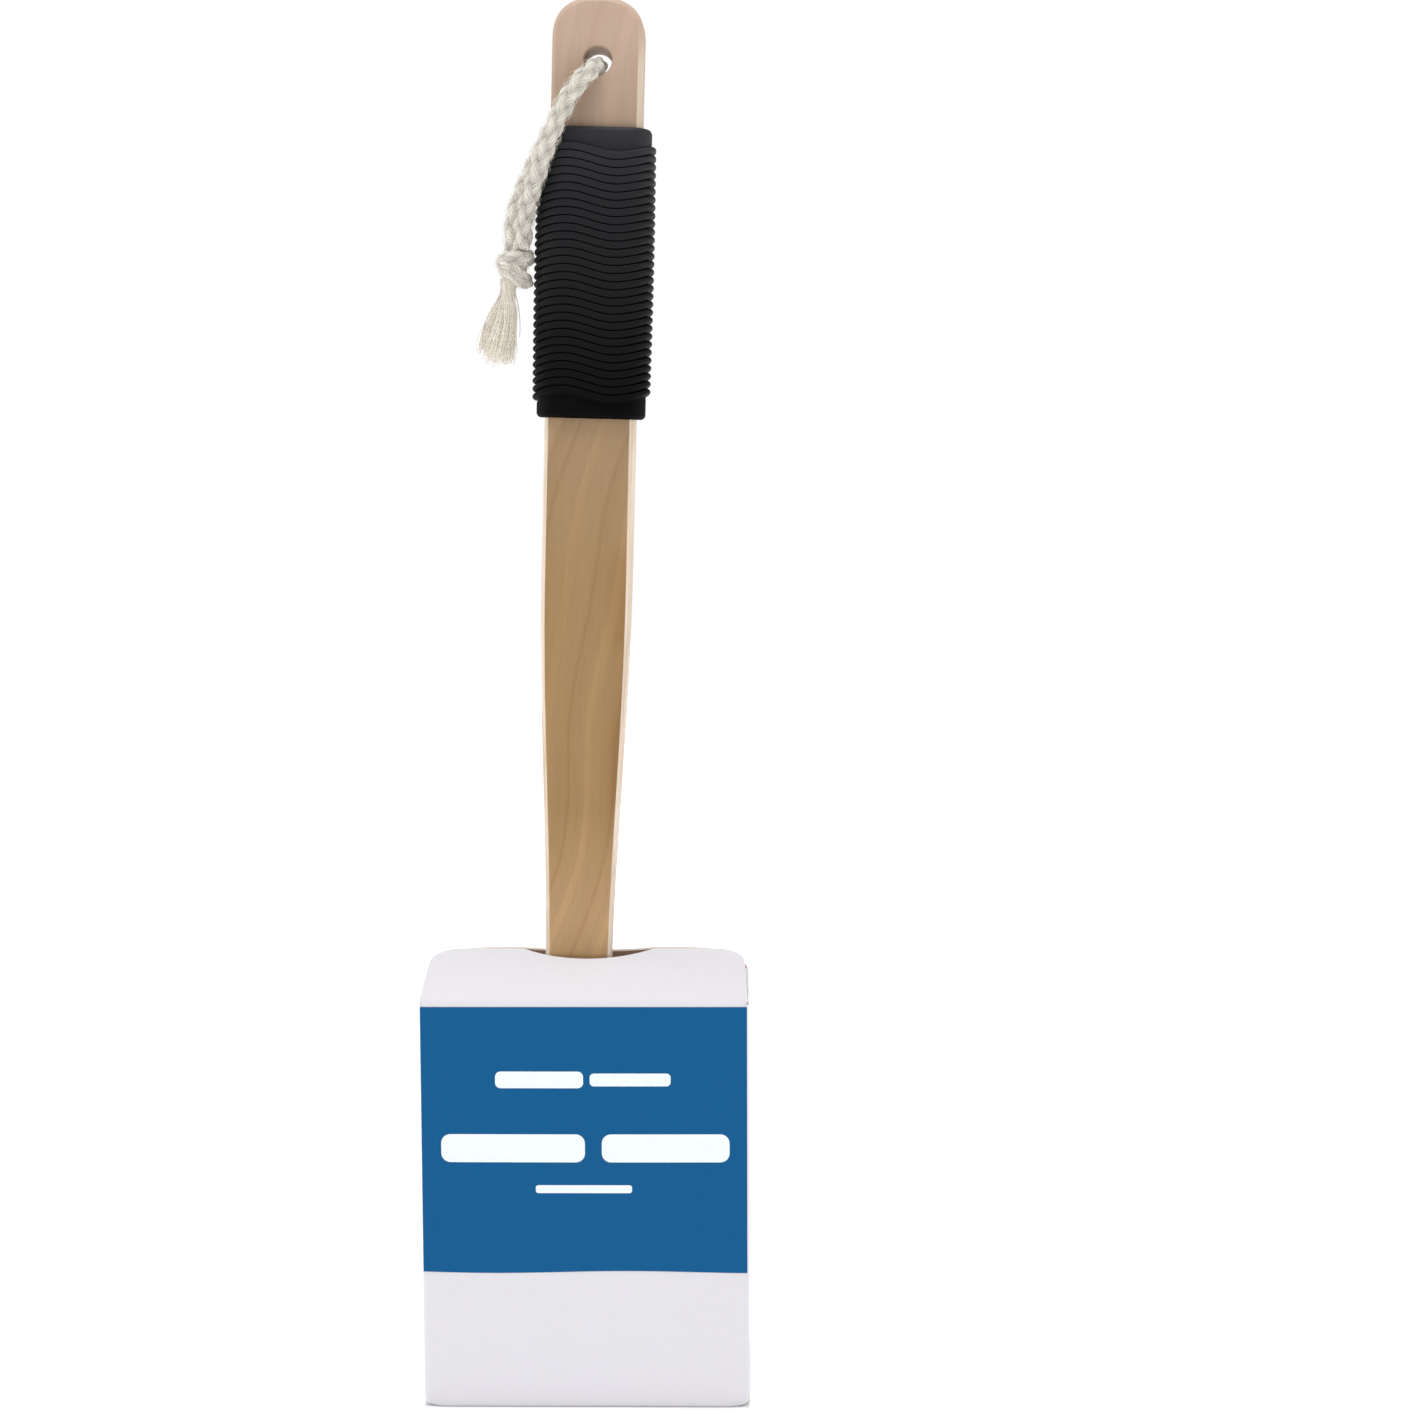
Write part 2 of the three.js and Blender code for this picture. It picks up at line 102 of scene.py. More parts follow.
def add_mesh(name, verts, faces, material, matrix=None, smooth=True, uvs=None, marks=None):
    """verts are in millimetres. material is one material, or a list with a slot number for each face."""
    mesh = bpy.data.meshes.new(name)
    mesh.from_pydata([tuple(v) for v in np.asarray(verts, float) * MM], [], [tuple(f) for f in faces])
    slots = None
    if isinstance(material, tuple):
        material, slots = material
    for entry in material if isinstance(material, list) else [material]:
        mesh.materials.append(entry)
    if slots is not None:
        mesh.polygons.foreach_set("material_index", np.asarray(slots, dtype=np.int32))
    if smooth:
        mesh.polygons.foreach_set("use_smooth", np.ones(len(mesh.polygons), dtype=bool))
    if uvs is not None:
        layer = mesh.uv_layers.new(name="along")
        loops = np.empty(len(mesh.loops), dtype=np.int32)
        mesh.loops.foreach_get("vertex_index", loops)
        layer.data.foreach_set("uv", np.asarray(uvs, float)[loops].ravel())
    if marks is not None:
        attribute = mesh.attributes.new("mark", "FLOAT", "POINT")
        attribute.data.foreach_set("value", np.asarray(marks, float))
    mesh.update()
    piece = bpy.data.objects.new(name, mesh)
    bpy.context.scene.collection.objects.link(piece)
    if matrix is not None:
        piece.matrix_world = matrix
    return piece


@contextlib.contextmanager
def edited(piece):
    """The piece's mesh, open for editing."""
    work = bmesh.new()
    work.from_mesh(piece.data)
    yield work
    work.to_mesh(piece.data)
    work.free()


def close_up(piece):
    """Join the vertices that meet and turn every face outwards."""
    with edited(piece) as work:
        bmesh.ops.remove_doubles(work, verts=work.verts, dist=1e-6)
        bmesh.ops.dissolve_degenerate(work, edges=work.edges, dist=1e-6)
        bmesh.ops.recalc_face_normals(work, faces=work.faces)


def keep_edges_sharp(piece, degrees):
    limit = math.radians(degrees)
    with edited(piece) as work:
        for edge in work.edges:
            if len(edge.link_faces) == 2 and edge.calc_face_angle(0) > limit:
                edge.smooth = False


def grid_faces(rows, columns, wrap_columns=False, start=0, flip=False):
    """Quads over a grid of vertices numbered along its rows, closed round where its columns wrap."""
    faces = []
    for row in range(start, start + (rows - 1) * columns, columns):
        for c in range(columns if wrap_columns else columns - 1):
            a, b = row + c, row + (c + 1) % columns
            quad = (a, b, b + columns, a + columns)
            faces.append(quad[::-1] if flip else quad)
    return faces


def tube_faces(rows, sides, start=0, flip=False):
    """The faces of a tube's rings, with a flat face over each end."""
    last = start + (rows - 1) * sides
    first_end = tuple(range(start, start + sides))
    last_end = tuple(range(last, last + sides))
    faces = grid_faces(rows, sides, wrap_columns=True, start=start, flip=flip)
    return faces + ([first_end, last_end[::-1]] if flip else [first_end[::-1], last_end])


def grid_border(rows, columns):
    """The vertices round a grid's edge, from its first corner along the first row."""
    last = (rows - 1) * columns
    first_row = range(columns - 1)
    right = range(columns - 1, last + columns - 1, columns)
    last_row = range(last + columns - 1, last, -1)
    return [*first_row, *right, *last_row, *range(last, 0, -columns)]


def sheet_faces(rows, columns, border):
    """The two sides of a sheet, and the edge along its border, as lists of faces.
    Its vertices are two grids, one for each side."""
    under = rows * columns
    upper = grid_faces(rows, columns)
    lower = grid_faces(rows, columns, start=under, flip=True)
    return upper, lower, [(a, under + a, under + b, b) for a, b in zip(border, border[1:])]


def smoothstep(x, low, high):
    t = np.clip((np.asarray(x, float) - low) / (high - low), 0, 1)
    return t * t * (3 - 2 * t)


def run_lengths(points):
    """How far along its run each point lies."""
    return np.concatenate([[0], np.cumsum(np.linalg.norm(np.diff(points, axis=0), axis=1))])


def resample(points, step):
    """Even steps along a smooth curve through the points."""
    points = np.asarray(points, float)
    padded = np.vstack([2 * points[0] - points[1], points, 2 * points[-1] - points[-2]])
    dense = []
    for a, b, c, d in zip(padded, padded[1:], padded[2:], padded[3:]):
        for t in np.linspace(0, 1, 12, endpoint=False):
            dense.append(0.5 * (2 * b + (c - a) * t + (2 * a - 5 * b + 4 * c - d) * t * t
                                + (3 * b - a - 3 * c + d) * t ** 3))
    dense = np.vstack([dense, points[-1]])
    lengths = run_lengths(dense)
    wanted = np.linspace(0, lengths[-1], max(int(lengths[-1] / step), 2) + 1)
    return np.column_stack([np.interp(wanted, lengths, dense[:, axis]) for axis in range(3)]), wanted


def frames_along(points):
    """Two unit vectors square to the curve at each point, turning as little as they can."""
    tangents = np.gradient(points, axis=0)
    tangents /= np.linalg.norm(tangents, axis=1)[:, None]
    side = np.cross(tangents[0], [0.0, 0.3, 1.0])
    if np.linalg.norm(side) < 0.1:
        side = np.cross(tangents[0], [1.0, 0.2, 0.0])
    sides = []
    for tangent in tangents:
        side = side - tangent * np.dot(side, tangent)
        side = side / np.linalg.norm(side)
        sides.append(side)
    sides = np.array(sides)
    return sides, np.cross(tangents, sides)


class Bundle:
    """Collects many thin tubes into one mesh."""

    def __init__(self):
        self.verts, self.faces, self.uvs, self.marks, self.count = [], [], [], [], 0

    def tube(self, points, radius, sides=5, mark=0.0):
        points = np.asarray(points, float)
        radius = np.broadcast_to(radius, len(points))[:, None, None]
        across, up = frames_along(points)
        turn = np.arange(sides) / sides * 2 * np.pi
        rings = (points[:, None, :] + across[:, None, :] * (np.cos(turn)[None, :, None] * radius)
                 + up[:, None, :] * (np.sin(turn)[None, :, None] * radius))
        along = np.repeat(run_lengths(points), sides)
        self.verts.append(rings.reshape(-1, 3))
        self.uvs.append(np.column_stack([along, np.tile(turn / (2 * np.pi), len(points))]))
        self.marks.append(np.repeat(np.broadcast_to(mark, len(points)), sides))
        self.faces += tube_faces(len(points), sides, start=self.count, flip=True)
        self.count += len(points) * sides

    def mesh(self, name, material, matrix=None):
        return add_mesh(name, np.vstack(self.verts), self.faces, material, matrix,
                        uvs=np.vstack(self.uvs), marks=np.concatenate(self.marks))


# --- Material helpers ---

def srgb(*values):
    """Linear colour from 0-255 screen values."""
    def channel(value):
        value /= 255
        return value / 12.92 if value <= 0.04045 else ((value + 0.055) / 1.055) ** 2.4
    return tuple(channel(value) for value in values) + (1.0,)


class Nodes:
    """A short way to write a material's nodes."""

    def __init__(self, name, roughness):
        self.material = bpy.data.materials.new(name)
        self.material.use_nodes = True
        self.tree = self.material.node_tree
        self.shader = self.tree.nodes["Principled BSDF"]
        self.shader.inputs["Roughness"].default_value = roughness

    def add(self, kind, values=None, **settings):
        node = self.tree.nodes.new(kind)
        for key, value in settings.items():
            setattr(node, key, value)
        self.feed(node, values or {})
        return node

    def feed(self, node, values):
        """Link each value that is a socket, and set each that is plain."""
        for key, value in values.items():
            if isinstance(value, bpy.types.NodeSocket):
                self.tree.links.new(value, node.inputs[key])
            else:
                node.inputs[key].default_value = value

    def place(self, scale=(1, 1, 1), rotation=(0, 0, 0), uv=False):
        source = self.add("ShaderNodeTexCoord").outputs["UV" if uv else "Object"]
        mapping = self.add("ShaderNodeMapping", {"Vector": source, "Scale": scale, "Rotation": rotation})
        return mapping.outputs["Vector"]

    def noise(self, vector, scale, detail, roughness=0.5):
        values = {"Vector": vector, "Scale": scale, "Detail": detail, "Roughness": roughness}
        return self.add("ShaderNodeTexNoise", values).outputs["Fac"]

    def ramp(self, value, stops):
        """Stops are (place, colour), and a grey is given as one number."""
        node = self.add("ShaderNodeValToRGB", {"Fac": value})
        elements = node.color_ramp.elements
        while len(elements) < len(stops):
            elements.new(0.5)
        for element, (place, colour) in zip(elements, stops):
            element.position = place
            element.color = colour if isinstance(colour, tuple) else (colour, colour, colour, 1.0)
        return node.outputs["Color"]

    def math(self, operation, a, b=0.0, clamp=False):
        return self.add("ShaderNodeMath", {0: a, 1: b}, operation=operation, use_clamp=clamp).outputs[0]

    def mix(self, factor, a, b, blend="MIX"):
        values = {0: factor, 6: a, 7: b}
        return self.add("ShaderNodeMix", values, data_type="RGBA", blend_type=blend).outputs[2]

    def tint(self, tone, value, stops, share=1.0):
        """The tone multiplied by a ramp over the value."""
        return self.mix(share, tone, self.ramp(value, stops), "MULTIPLY")

    def vector(self, operation, a, b):
        return self.add("ShaderNodeVectorMath", {0: a, 1: b}, operation=operation).outputs[0]

    def wave(self, direction, values):
        node = self.add("ShaderNodeTexWave", values, wave_type="BANDS", bands_direction=direction)
        return node.outputs["Fac"]

    def mark(self):
        return self.add("ShaderNodeAttribute", attribute_name="mark").outputs["Fac"]

    def set(self, **inputs):
        self.feed(self.shader, {key.replace("_", " "): value for key, value in inputs.items()})

    def bump(self, height, distance, strength):
        node = self.add("ShaderNodeBump", {"Height": height, "Distance": distance, "Strength": strength})
        self.set(Normal=node.outputs["Normal"])


# --- Materials ---

# The wood's tones change along the handle, at shares of this length in metres.
TONE_SPAN = 0.43
GRAIN_LEAN = math.radians(-11)
FIGURE_LEAN = math.radians(-1.5)


def wood_material():
    n = Nodes("handle_wood", 0.5)
    parts = n.add("ShaderNodeSeparateXYZ", {"Vector": n.place()}).outputs
    height = n.math("DIVIDE", parts["Z"], TONE_SPAN)
    # the oiled shaft is tan, and the unoiled paddle end above the grip is paler and pinker. Part of this
    # change along the handle is painted light: the tones also carry how brightly each height is lit, the
    # paddle's top lighter than lower down.
    tone = n.ramp(height, [
        (0.34, srgb(184, 149, 107)), (0.42, srgb(160, 127, 84)), (0.58, srgb(158, 127, 86)),
        (0.68, srgb(161, 133, 100)), (0.88, srgb(152, 129, 109)), (0.97, srgb(185, 160, 141))])
    # the grain leans off the shaft and drifts as it runs down, and is calmer on the paddle end
    cloud = n.add("ShaderNodeTexNoise", {"Vector": n.place(scale=(1, 1, 0.5)), "Scale": 17.0, "Detail": 1.0})
    drift = n.vector("SUBTRACT", cloud.outputs["Color"], (0.5, 0.5, 0.5))
    drift = n.vector("MULTIPLY", drift, (0.030, 0.0, 0.0))
    lean = n.vector("ADD", n.place(rotation=(0, GRAIN_LEAN, 0)), drift)
    along = n.add("ShaderNodeMapping", {"Vector": lean, "Scale": (1, 1, 0.03)}).outputs["Vector"]
    bands = n.noise(along, 190, detail=5, roughness=0.6)
    calm = n.ramp(height, [(0.86, 1.0), (0.90, 0.4)])
    tone = n.tint(tone, bands, [(0.32, (0.92, 0.89, 0.84, 1)), (0.50, 1.0), (0.70, 1.06)], calm)
    lines = n.wave("X", {
        "Vector": along, "Scale": 21.0, "Distortion": 2.6, "Detail": 3.0, "Detail Scale": 1.6})
    tone = n.tint(tone, lines, [
        (0.0, (0.88, 0.84, 0.78, 1)), (0.03, (0.97, 0.96, 0.94, 1)), (0.90, 1.0),
        (0.98, (1.12, 1.12, 1.11, 1))], n.math("MULTIPLY", calm, 0.9))
    # two reddish streaks near the right edge
    near_edge = n.ramp(n.math("DIVIDE", parts["X"], 0.014), [(0.35, 0.0), (0.72, 1.0)])
    ragged = n.math("SUBTRACT", n.noise(n.place(scale=(3, 1, 1)), 60, detail=3), 0.5)
    zone = n.ramp(n.math("ADD", height, n.math("MULTIPLY", ragged, 0.07)), [
        (0.40, 0.0), (0.43, 0.9), (0.47, 0.9), (0.50, 0.2),
        (0.53, 0.3), (0.55, 1.0), (0.59, 1.0), (0.63, 0.0)])
    streak = n.math("MULTIPLY", n.math("MULTIPLY", near_edge, zone), 0.75)
    tone = n.mix(streak, tone, n.mix(1.0, tone, (0.86, 0.76, 0.62, 1), "MULTIPLY"))
    figure = n.noise(n.place(scale=(1, 1, 0.02), rotation=(0, FIGURE_LEAN, 0)), 700, detail=5, roughness=0.6)
    tone = n.tint(tone, figure, [(0.35, 0.92), (0.6, 1.0)], 0.4)
    pores = n.noise(n.place(scale=(1, 1, 0.035)), 2600, detail=2)
    tone = n.tint(tone, pores, [(0.30, 0.80), (0.42, 1.0)], 0.3)
    # the planed edges are unoiled and paler, and show the same grain. Their pale tone is partly painted
    # highlight: the light that falls along the handle's sides.
    pale_and_painted_light = n.ramp(n.math("ADD", n.math("MULTIPLY", figure, 0.6), n.math("MULTIPLY", bands, 0.4)), [
        (0.38, srgb(206, 184, 160)), (0.50, srgb(224, 208, 190)), (0.62, srgb(234, 222, 208))])
    tone = n.mix(n.math("MULTIPLY", n.mark(), 0.92), tone, pale_and_painted_light)
    n.set(Base_Color=tone, Specular_IOR_Level=0.3)
    n.set(Roughness=n.ramp(figure, [(0.3, 0.60), (0.7, 0.46)]))
    n.bump(n.math("ADD", figure, n.math("MULTIPLY", pores, 0.6)), 0.00010, 0.5)
    return n.material


def rubber_material():
    n = Nodes("grip_rubber", 0.6)
    grain = n.noise(n.place(), 2200, detail=3)
    dust = n.noise(n.place(), 90, detail=4)
    height = n.add("ShaderNodeSeparateXYZ", {"Vector": n.place()}).outputs["Z"]
    above_foot = n.math("SUBTRACT", height, GRIP_FOOT * MM)
    along = n.math("DIVIDE", above_foot, (GRIP_TOP - GRIP_FOOT) * MM, clamp=True)
    # painted light: the sleeve's tone is lighter towards its top, where more light falls, and darkest at its
    # foot
    tone = n.ramp(along, [(0.0, srgb(5, 5, 6)), (0.35, srgb(13, 14, 15)), (0.75, srgb(22, 23, 26)),
                          (1.0, srgb(38, 39, 43))])
    tone = n.tint(tone, dust, [(0.35, 0.85), (0.7, 1.1)], 0.5)
    # painted shade: the grooves between the ribs are darkened, their tone cut to about a fifth
    n.set(Base_Color=n.tint(tone, n.mark(), [(0.0, 0.22), (0.7, 1.0)]))
    n.set(Specular_IOR_Level=n.ramp(along, [(0.0, 0.05), (0.5, 0.16), (1.0, 0.26)]))
    n.set(Roughness=n.ramp(grain, [(0.3, 0.55), (0.7, 0.7)]))
    n.bump(grain, 0.00006, 0.5)
    return n.material


def cotton_material(name, low, high, see_through, painted_fibre_glow):
    n = Nodes(name, 0.95)
    yarn = n.noise(n.place(scale=(0.25, 9, 1), uv=True), 3.0, detail=4, roughness=0.6)
    cloud = n.noise(n.place(), 160, detail=3)
    tone = n.ramp(yarn, [(0.3, low), (0.62, high)])
    tone = n.tint(tone, cloud, [(0.35, 0.88), (0.65, 1.0)], 0.35)
    # the marks darken the braid's strands where they dip under and at their edges, which is painted shade; on
    # loose fibres they vary at random
    tone = n.tint(tone, n.mark(), [(0.0, 0.52), (1.0, 1.0)])
    # painted light: the cotton glows a little, standing in for the light that scatters from fibre to fibre
    # and makes it brighter than its surface alone
    n.set(Base_Color=tone, Specular_IOR_Level=0.12, Sheen_Weight=0.3, Sheen_Roughness=0.5)
    n.set(Emission_Color=tone, Emission_Strength=painted_fibre_glow)
    n.bump(yarn, 0.0003, 0.7)
    # light passes through the loose fibres
    glow = n.add("ShaderNodeBsdfTranslucent", {"Color": tone})
    both = n.add("ShaderNodeMixShader", {0: see_through, 1: n.shader.outputs[0], 2: glow.outputs[0]})
    n.feed(n.tree.nodes["Material Output"], {"Surface": both.outputs[0]})
    return n.material


def board_material(name, low, high, roughness, speckle, specular, painted_board_glow=0.0):
    n = Nodes(name, roughness)
    fibres = n.noise(n.place(), 900, detail=5, roughness=0.7)
    cloud = n.noise(n.place(), 14, detail=2)
    tone = n.ramp(fibres, [(0.35, low), (0.65, high)])
    tone = n.tint(tone, cloud, [(0.4, 0.97), (0.6, 1.0)], speckle)
    n.set(Base_Color=tone, Specular_IOR_Level=specular)
    # painted light: the board glows a little, standing in for light that soaks through the thin sheet into
    # the closed carton
    n.set(Emission_Color=tone, Emission_Strength=painted_board_glow)
    n.set(Roughness=n.ramp(cloud, [(0.4, roughness - 0.05), (0.6, roughness + 0.05)]))
    n.bump(fibres, 0.00001, 0.3)
    return n.material


def label_material(name, low, high):
    n = Nodes(name, 0.5)
    dots = n.noise(n.place(), 1400, detail=4, roughness=0.7)
    n.set(Base_Color=n.ramp(dots, [(0.3, low), (0.7, high)]), Specular_IOR_Level=0.12)
    n.bump(dots, 0.00003, 0.4)
    return n.material


def loofah_material():
    n = Nodes("loofah", 0.9)
    fibre = n.noise(n.place(scale=(0.3, 3, 1), uv=True), 2.0, detail=4)
    patch = n.noise(n.place(), 45, detail=3)
    tone = n.ramp(n.mark(), [
        (0.0, srgb(176, 146, 98)), (0.25, srgb(212, 188, 142)), (1.0, srgb(240, 223, 186))])
    tone = n.tint(tone, fibre, [(0.3, (0.80, 0.74, 0.64, 1)), (0.65, 1.0)], 0.6)
    tone = n.tint(tone, patch, [(0.35, (0.88, 0.82, 0.74, 1)), (0.65, 1.0)], 0.5)
    n.set(Base_Color=tone, Specular_IOR_Level=0.25)
    n.bump(fibre, 0.0003, 0.6)
    return n.material


def tape_material():
    n = Nodes("binding_tape", 0.85)
    threads = {"Vector": n.place(uv=True), "Scale": 0.75, "Distortion": 0.4}
    weave = n.math("MULTIPLY", n.wave("X", threads), n.wave("Y", threads))
    n.set(Base_Color=n.ramp(weave, [(0.1, srgb(190, 180, 158)), (0.6, srgb(232, 225, 208))]),
          Specular_IOR_Level=0.2, Sheen_Weight=0.2)
    n.bump(weave, 0.0004, 0.8)
    return n.material


def foam_material():
    n = Nodes("foam", 0.95)
    cells = n.add("ShaderNodeTexVoronoi", {"Vector": n.place(), "Scale": 1400.0}).outputs["Distance"]
    n.set(Base_Color=n.ramp(cells, [(0.05, srgb(196, 186, 150)), (0.5, srgb(240, 233, 210))]))
    n.bump(cells, 0.0004, 0.8)
    return n.material


def steel_material():
    n = Nodes("rivet_steel", 0.35)
    brushed = n.noise(n.place(scale=(1, 0.1, 1)), 3000, detail=3)
    n.set(Base_Color=n.ramp(brushed, [(0.3, 0.5), (0.7, 0.68)]), Metallic=1.0)
    n.bump(brushed, 0.00003, 0.4)
    return n.material


wood = wood_material()
rubber = rubber_material()
cotton = cotton_material("rope_cotton", srgb(220, 214, 202), srgb(248, 245, 237), 0.25, 0.17)
frayed = cotton_material("frayed_cotton", srgb(240, 231, 217), srgb(255, 252, 245), 0.45, 0.30)
board = board_material("board_white", srgb(222, 220, 225), srgb(224, 222, 227), 0.45, 0.2, 0.3)
kraft = board_material("board_brown", srgb(172, 144, 124), srgb(208, 184, 164), 0.8, 1.0, 0.2, 0.13)
cut_edge = board_material("board_cut_edge", srgb(236, 226, 216), srgb(250, 242, 234), 0.8, 0.4, 0.2)
label_blue = label_material("label_blue", srgb(3, 86, 138), srgb(6, 90, 142))
label_white = label_material("label_white", srgb(232, 240, 244), srgb(244, 250, 252))
loofah_fibre = loofah_material()
tape = tape_material()
foam = foam_material()
steel = steel_material()


# --- Rope ---

ROPE_DIAMETER = 5.6
# The rope's route, in millimetres from the centre of the hole, in the brush's own directions.
ROPE_ROUTE = [
    (-21.9, -3.6, -56.2), (-21.8, -3.9, -53.2), (-21.3, -5.0, -48.3), (-20.0, -7.4, -42.2),
    (-17.9, -10.2, -36.1), (-15.9, -11.8, -29.9), (-13.8, -12.3, -23.8), (-11.3, -12.3, -17.7),
    (-8.7, -12.1, -12.2), (-6.4, -11.6, -8.4), (-4.4, -10.6, -5.6), (-2.8, -9.1, -3.7),
    (-1.4, -7.2, -2.0), (-0.5, -4.3, -0.9), (0, 0, -0.6), (-0.5, 4.3, -0.9),
    (-1.5, 7.2, -1.9), (-3.1, 9.1, -3.5), (-4.9, 10.6, -5.3), (-7.1, 11.6, -7.9),
    (-10.0, 12.1, -11.6), (-13.3, 12.3, -17.0), (-16.4, 12.2, -22.4), (-19.2, 11.6, -28.0),
    (-21.6, 10.2, -33.6), (-23.6, 8.2, -39.0), (-25.0, 6.2, -44.4), (-25.6, 4.8, -49.6),
    (-25.5, 4.1, -53.4), (-25.1, 3.8, -56.2),
]
KNOT_CENTRE = (-24.2, 0.0, -62.2)
ROPE_TAILS = {
    "rope_tail_front": ((-25.6, -2.0, -65.5), (-27.8, -4.2, -91.5)),
    "rope_tail_rear": ((-26.6, 2.0, -65.5), (-31.2, 4.0, -89.5)),
}
# The rope is pulled thinner and tighter in the knot.
KNOT_DIAMETER = 5.3
KNOT_PITCH = 19.0
BRAID_CARRIERS = 3
BRAID_YARNS = 5
BRAID_PITCH = 21.0
BRAID_STEP = 0.5
TAIL_LOCKS = 9
TAIL_FIBRES = 300
# Loose fibres rooted within this reach of the hole keep this gap to the handle.
FUZZ_REACH = 30
FUZZ_GAP = 0.8


def braid(bundle, points, diameter, seed, pitch=BRAID_PITCH, swell=0.0):
    """A plait round a core: half of its flat strands turn each way, passing over and under each other.
    It swells where the hole doesn't squeeze it."""
    rng = random.Random(seed)
    line, lengths = resample(points, BRAID_STEP)
    across, up = frames_along(line)
    free = smoothstep(np.linalg.norm(line, axis=1), 9, 15)
    scale = diameter / ROPE_DIAMETER * (1 + swell * free)
    mean, lift = 1.84 * scale, 0.62 * scale
    yarn = 0.46 * scale
    slant = np.cos(np.arctan(2 * np.pi * mean / pitch))
    bundle.tube(line, 1.55 * scale, sides=8)
    for direction in (1, -1):
        for carrier in range(BRAID_CARRIERS):
            for index in range(BRAID_YARNS):
                place = index - (BRAID_YARNS - 1) / 2
                offset = place * yarn * 1.3 / (mean * slant)
                phase = 2 * np.pi * BRAID_CARRIERS * lengths / pitch + direction * 2 * offset
                weave = direction * np.cos(phase)
                wander = 0.05 * np.sin(lengths * rng.uniform(0.9, 1.6) + rng.uniform(0, 6))
                turn = direction * 2 * np.pi * lengths / pitch + 2 * np.pi * carrier / BRAID_CARRIERS
                turn = turn + offset + wander
                outward = across * np.cos(turn)[:, None] + up * np.sin(turn)[:, None]
                radius = mean + lift * weave - 0.14 * scale * place ** 2
                # painted shade: a strand is darker where it dips under its neighbours and towards its edges
                shade = 0.55 + 0.45 * weave - 0.16 * abs(place) + rng.uniform(-0.08, 0.08)
                thickness = yarn * rng.uniform(0.92, 1.08)
                bundle.tube(line + outward * radius[:, None], thickness, sides=6, mark=np.clip(shade, 0, 1))
    return line, across, up


def fuzz(name, lines, count, radius, seed):
    """Loose fibre ends standing off the rope, except where it lies against the handle."""
    rng = random.Random(seed)
    bundle = Bundle()
    for _ in range(count):
        line, across, up = lines[rng.randrange(len(lines))]
        index = rng.randrange(2, len(line) - 2)
        angle = rng.uniform(0, 2 * math.pi)
        outward = across[index] * math.cos(angle) + up[index] * math.sin(angle)
        along = line[index + 1] - line[index - 1]
        along = along / np.linalg.norm(along) * rng.choice((-1, 1))
        side = np.cross(outward, along)
        reach = rng.uniform(0.3, 1.3) ** 1.3
        run = rng.uniform(1.0, 3.0)
        sway = rng.uniform(-1.0, 1.0)
        root = line[index] + outward * (radius - 0.4)
        points = [root + outward * reach * math.sin(t * 1.9) + along * run * t + side * sway * t * t
                  for t in np.linspace(0, 1, 4)]
        near_hole = math.hypot(root[0], root[2]) < FUZZ_REACH
        if near_hole and min(abs(point[1]) for point in points) < HANDLE_THICKNESS / 2 + FUZZ_GAP:
            continue
        bundle.tube(points, np.linspace(0.05, 0.02, 4), sides=3, mark=rng.uniform(0.6, 1.0))
    return bundle.mesh(name, frayed, ROPE)


def knot_routes():
    """The wraps of the overhand knot: an upper turn, a slanting lower turn, and the strands they hold."""
    centre = np.array(KNOT_CENTRE)
    routes = []
    for start, end, first, height, slant, reach, fall in (
            (-0.12, 1.06, 0.5, 2.9, 0.5, (3.5, 3.5), -0.3),
            (-0.05, 1.04, 2.2, -1.8, -1.7, (3.1, 3.4), -0.4)):
        turn = []
        for t in np.linspace(start, end, 24):
            angle = 2 * math.pi * t + first
            side = math.cos(angle)
            level = height + slant * side + fall * t
            turn.append(centre + (reach[0] * side, -reach[1] * math.sin(angle), level))
        routes.append(turn)
    tuck = [(-3.4, -1.4, 2.2), (-3.2, -3.2, 0.8), (-1.6, -4.0, -0.6), (0.6, -3.8, -2.2), (1.6, -2.0, -3.6)]
    through = [(2.2, -2.6, 5.4), (1.4, -1.6, 1.0), (-0.6, -1.2, -3.0), (-1.9, -1.8, -4.8)]
    behind = [(-1.0, 2.8, 5.4), (-0.8, 1.6, 1.0), (-1.4, 1.4, -3.0), (-2.2, 1.9, -4.8)]
    return routes + [[centre + point for point in strand] for strand in (tuck, through, behind)]


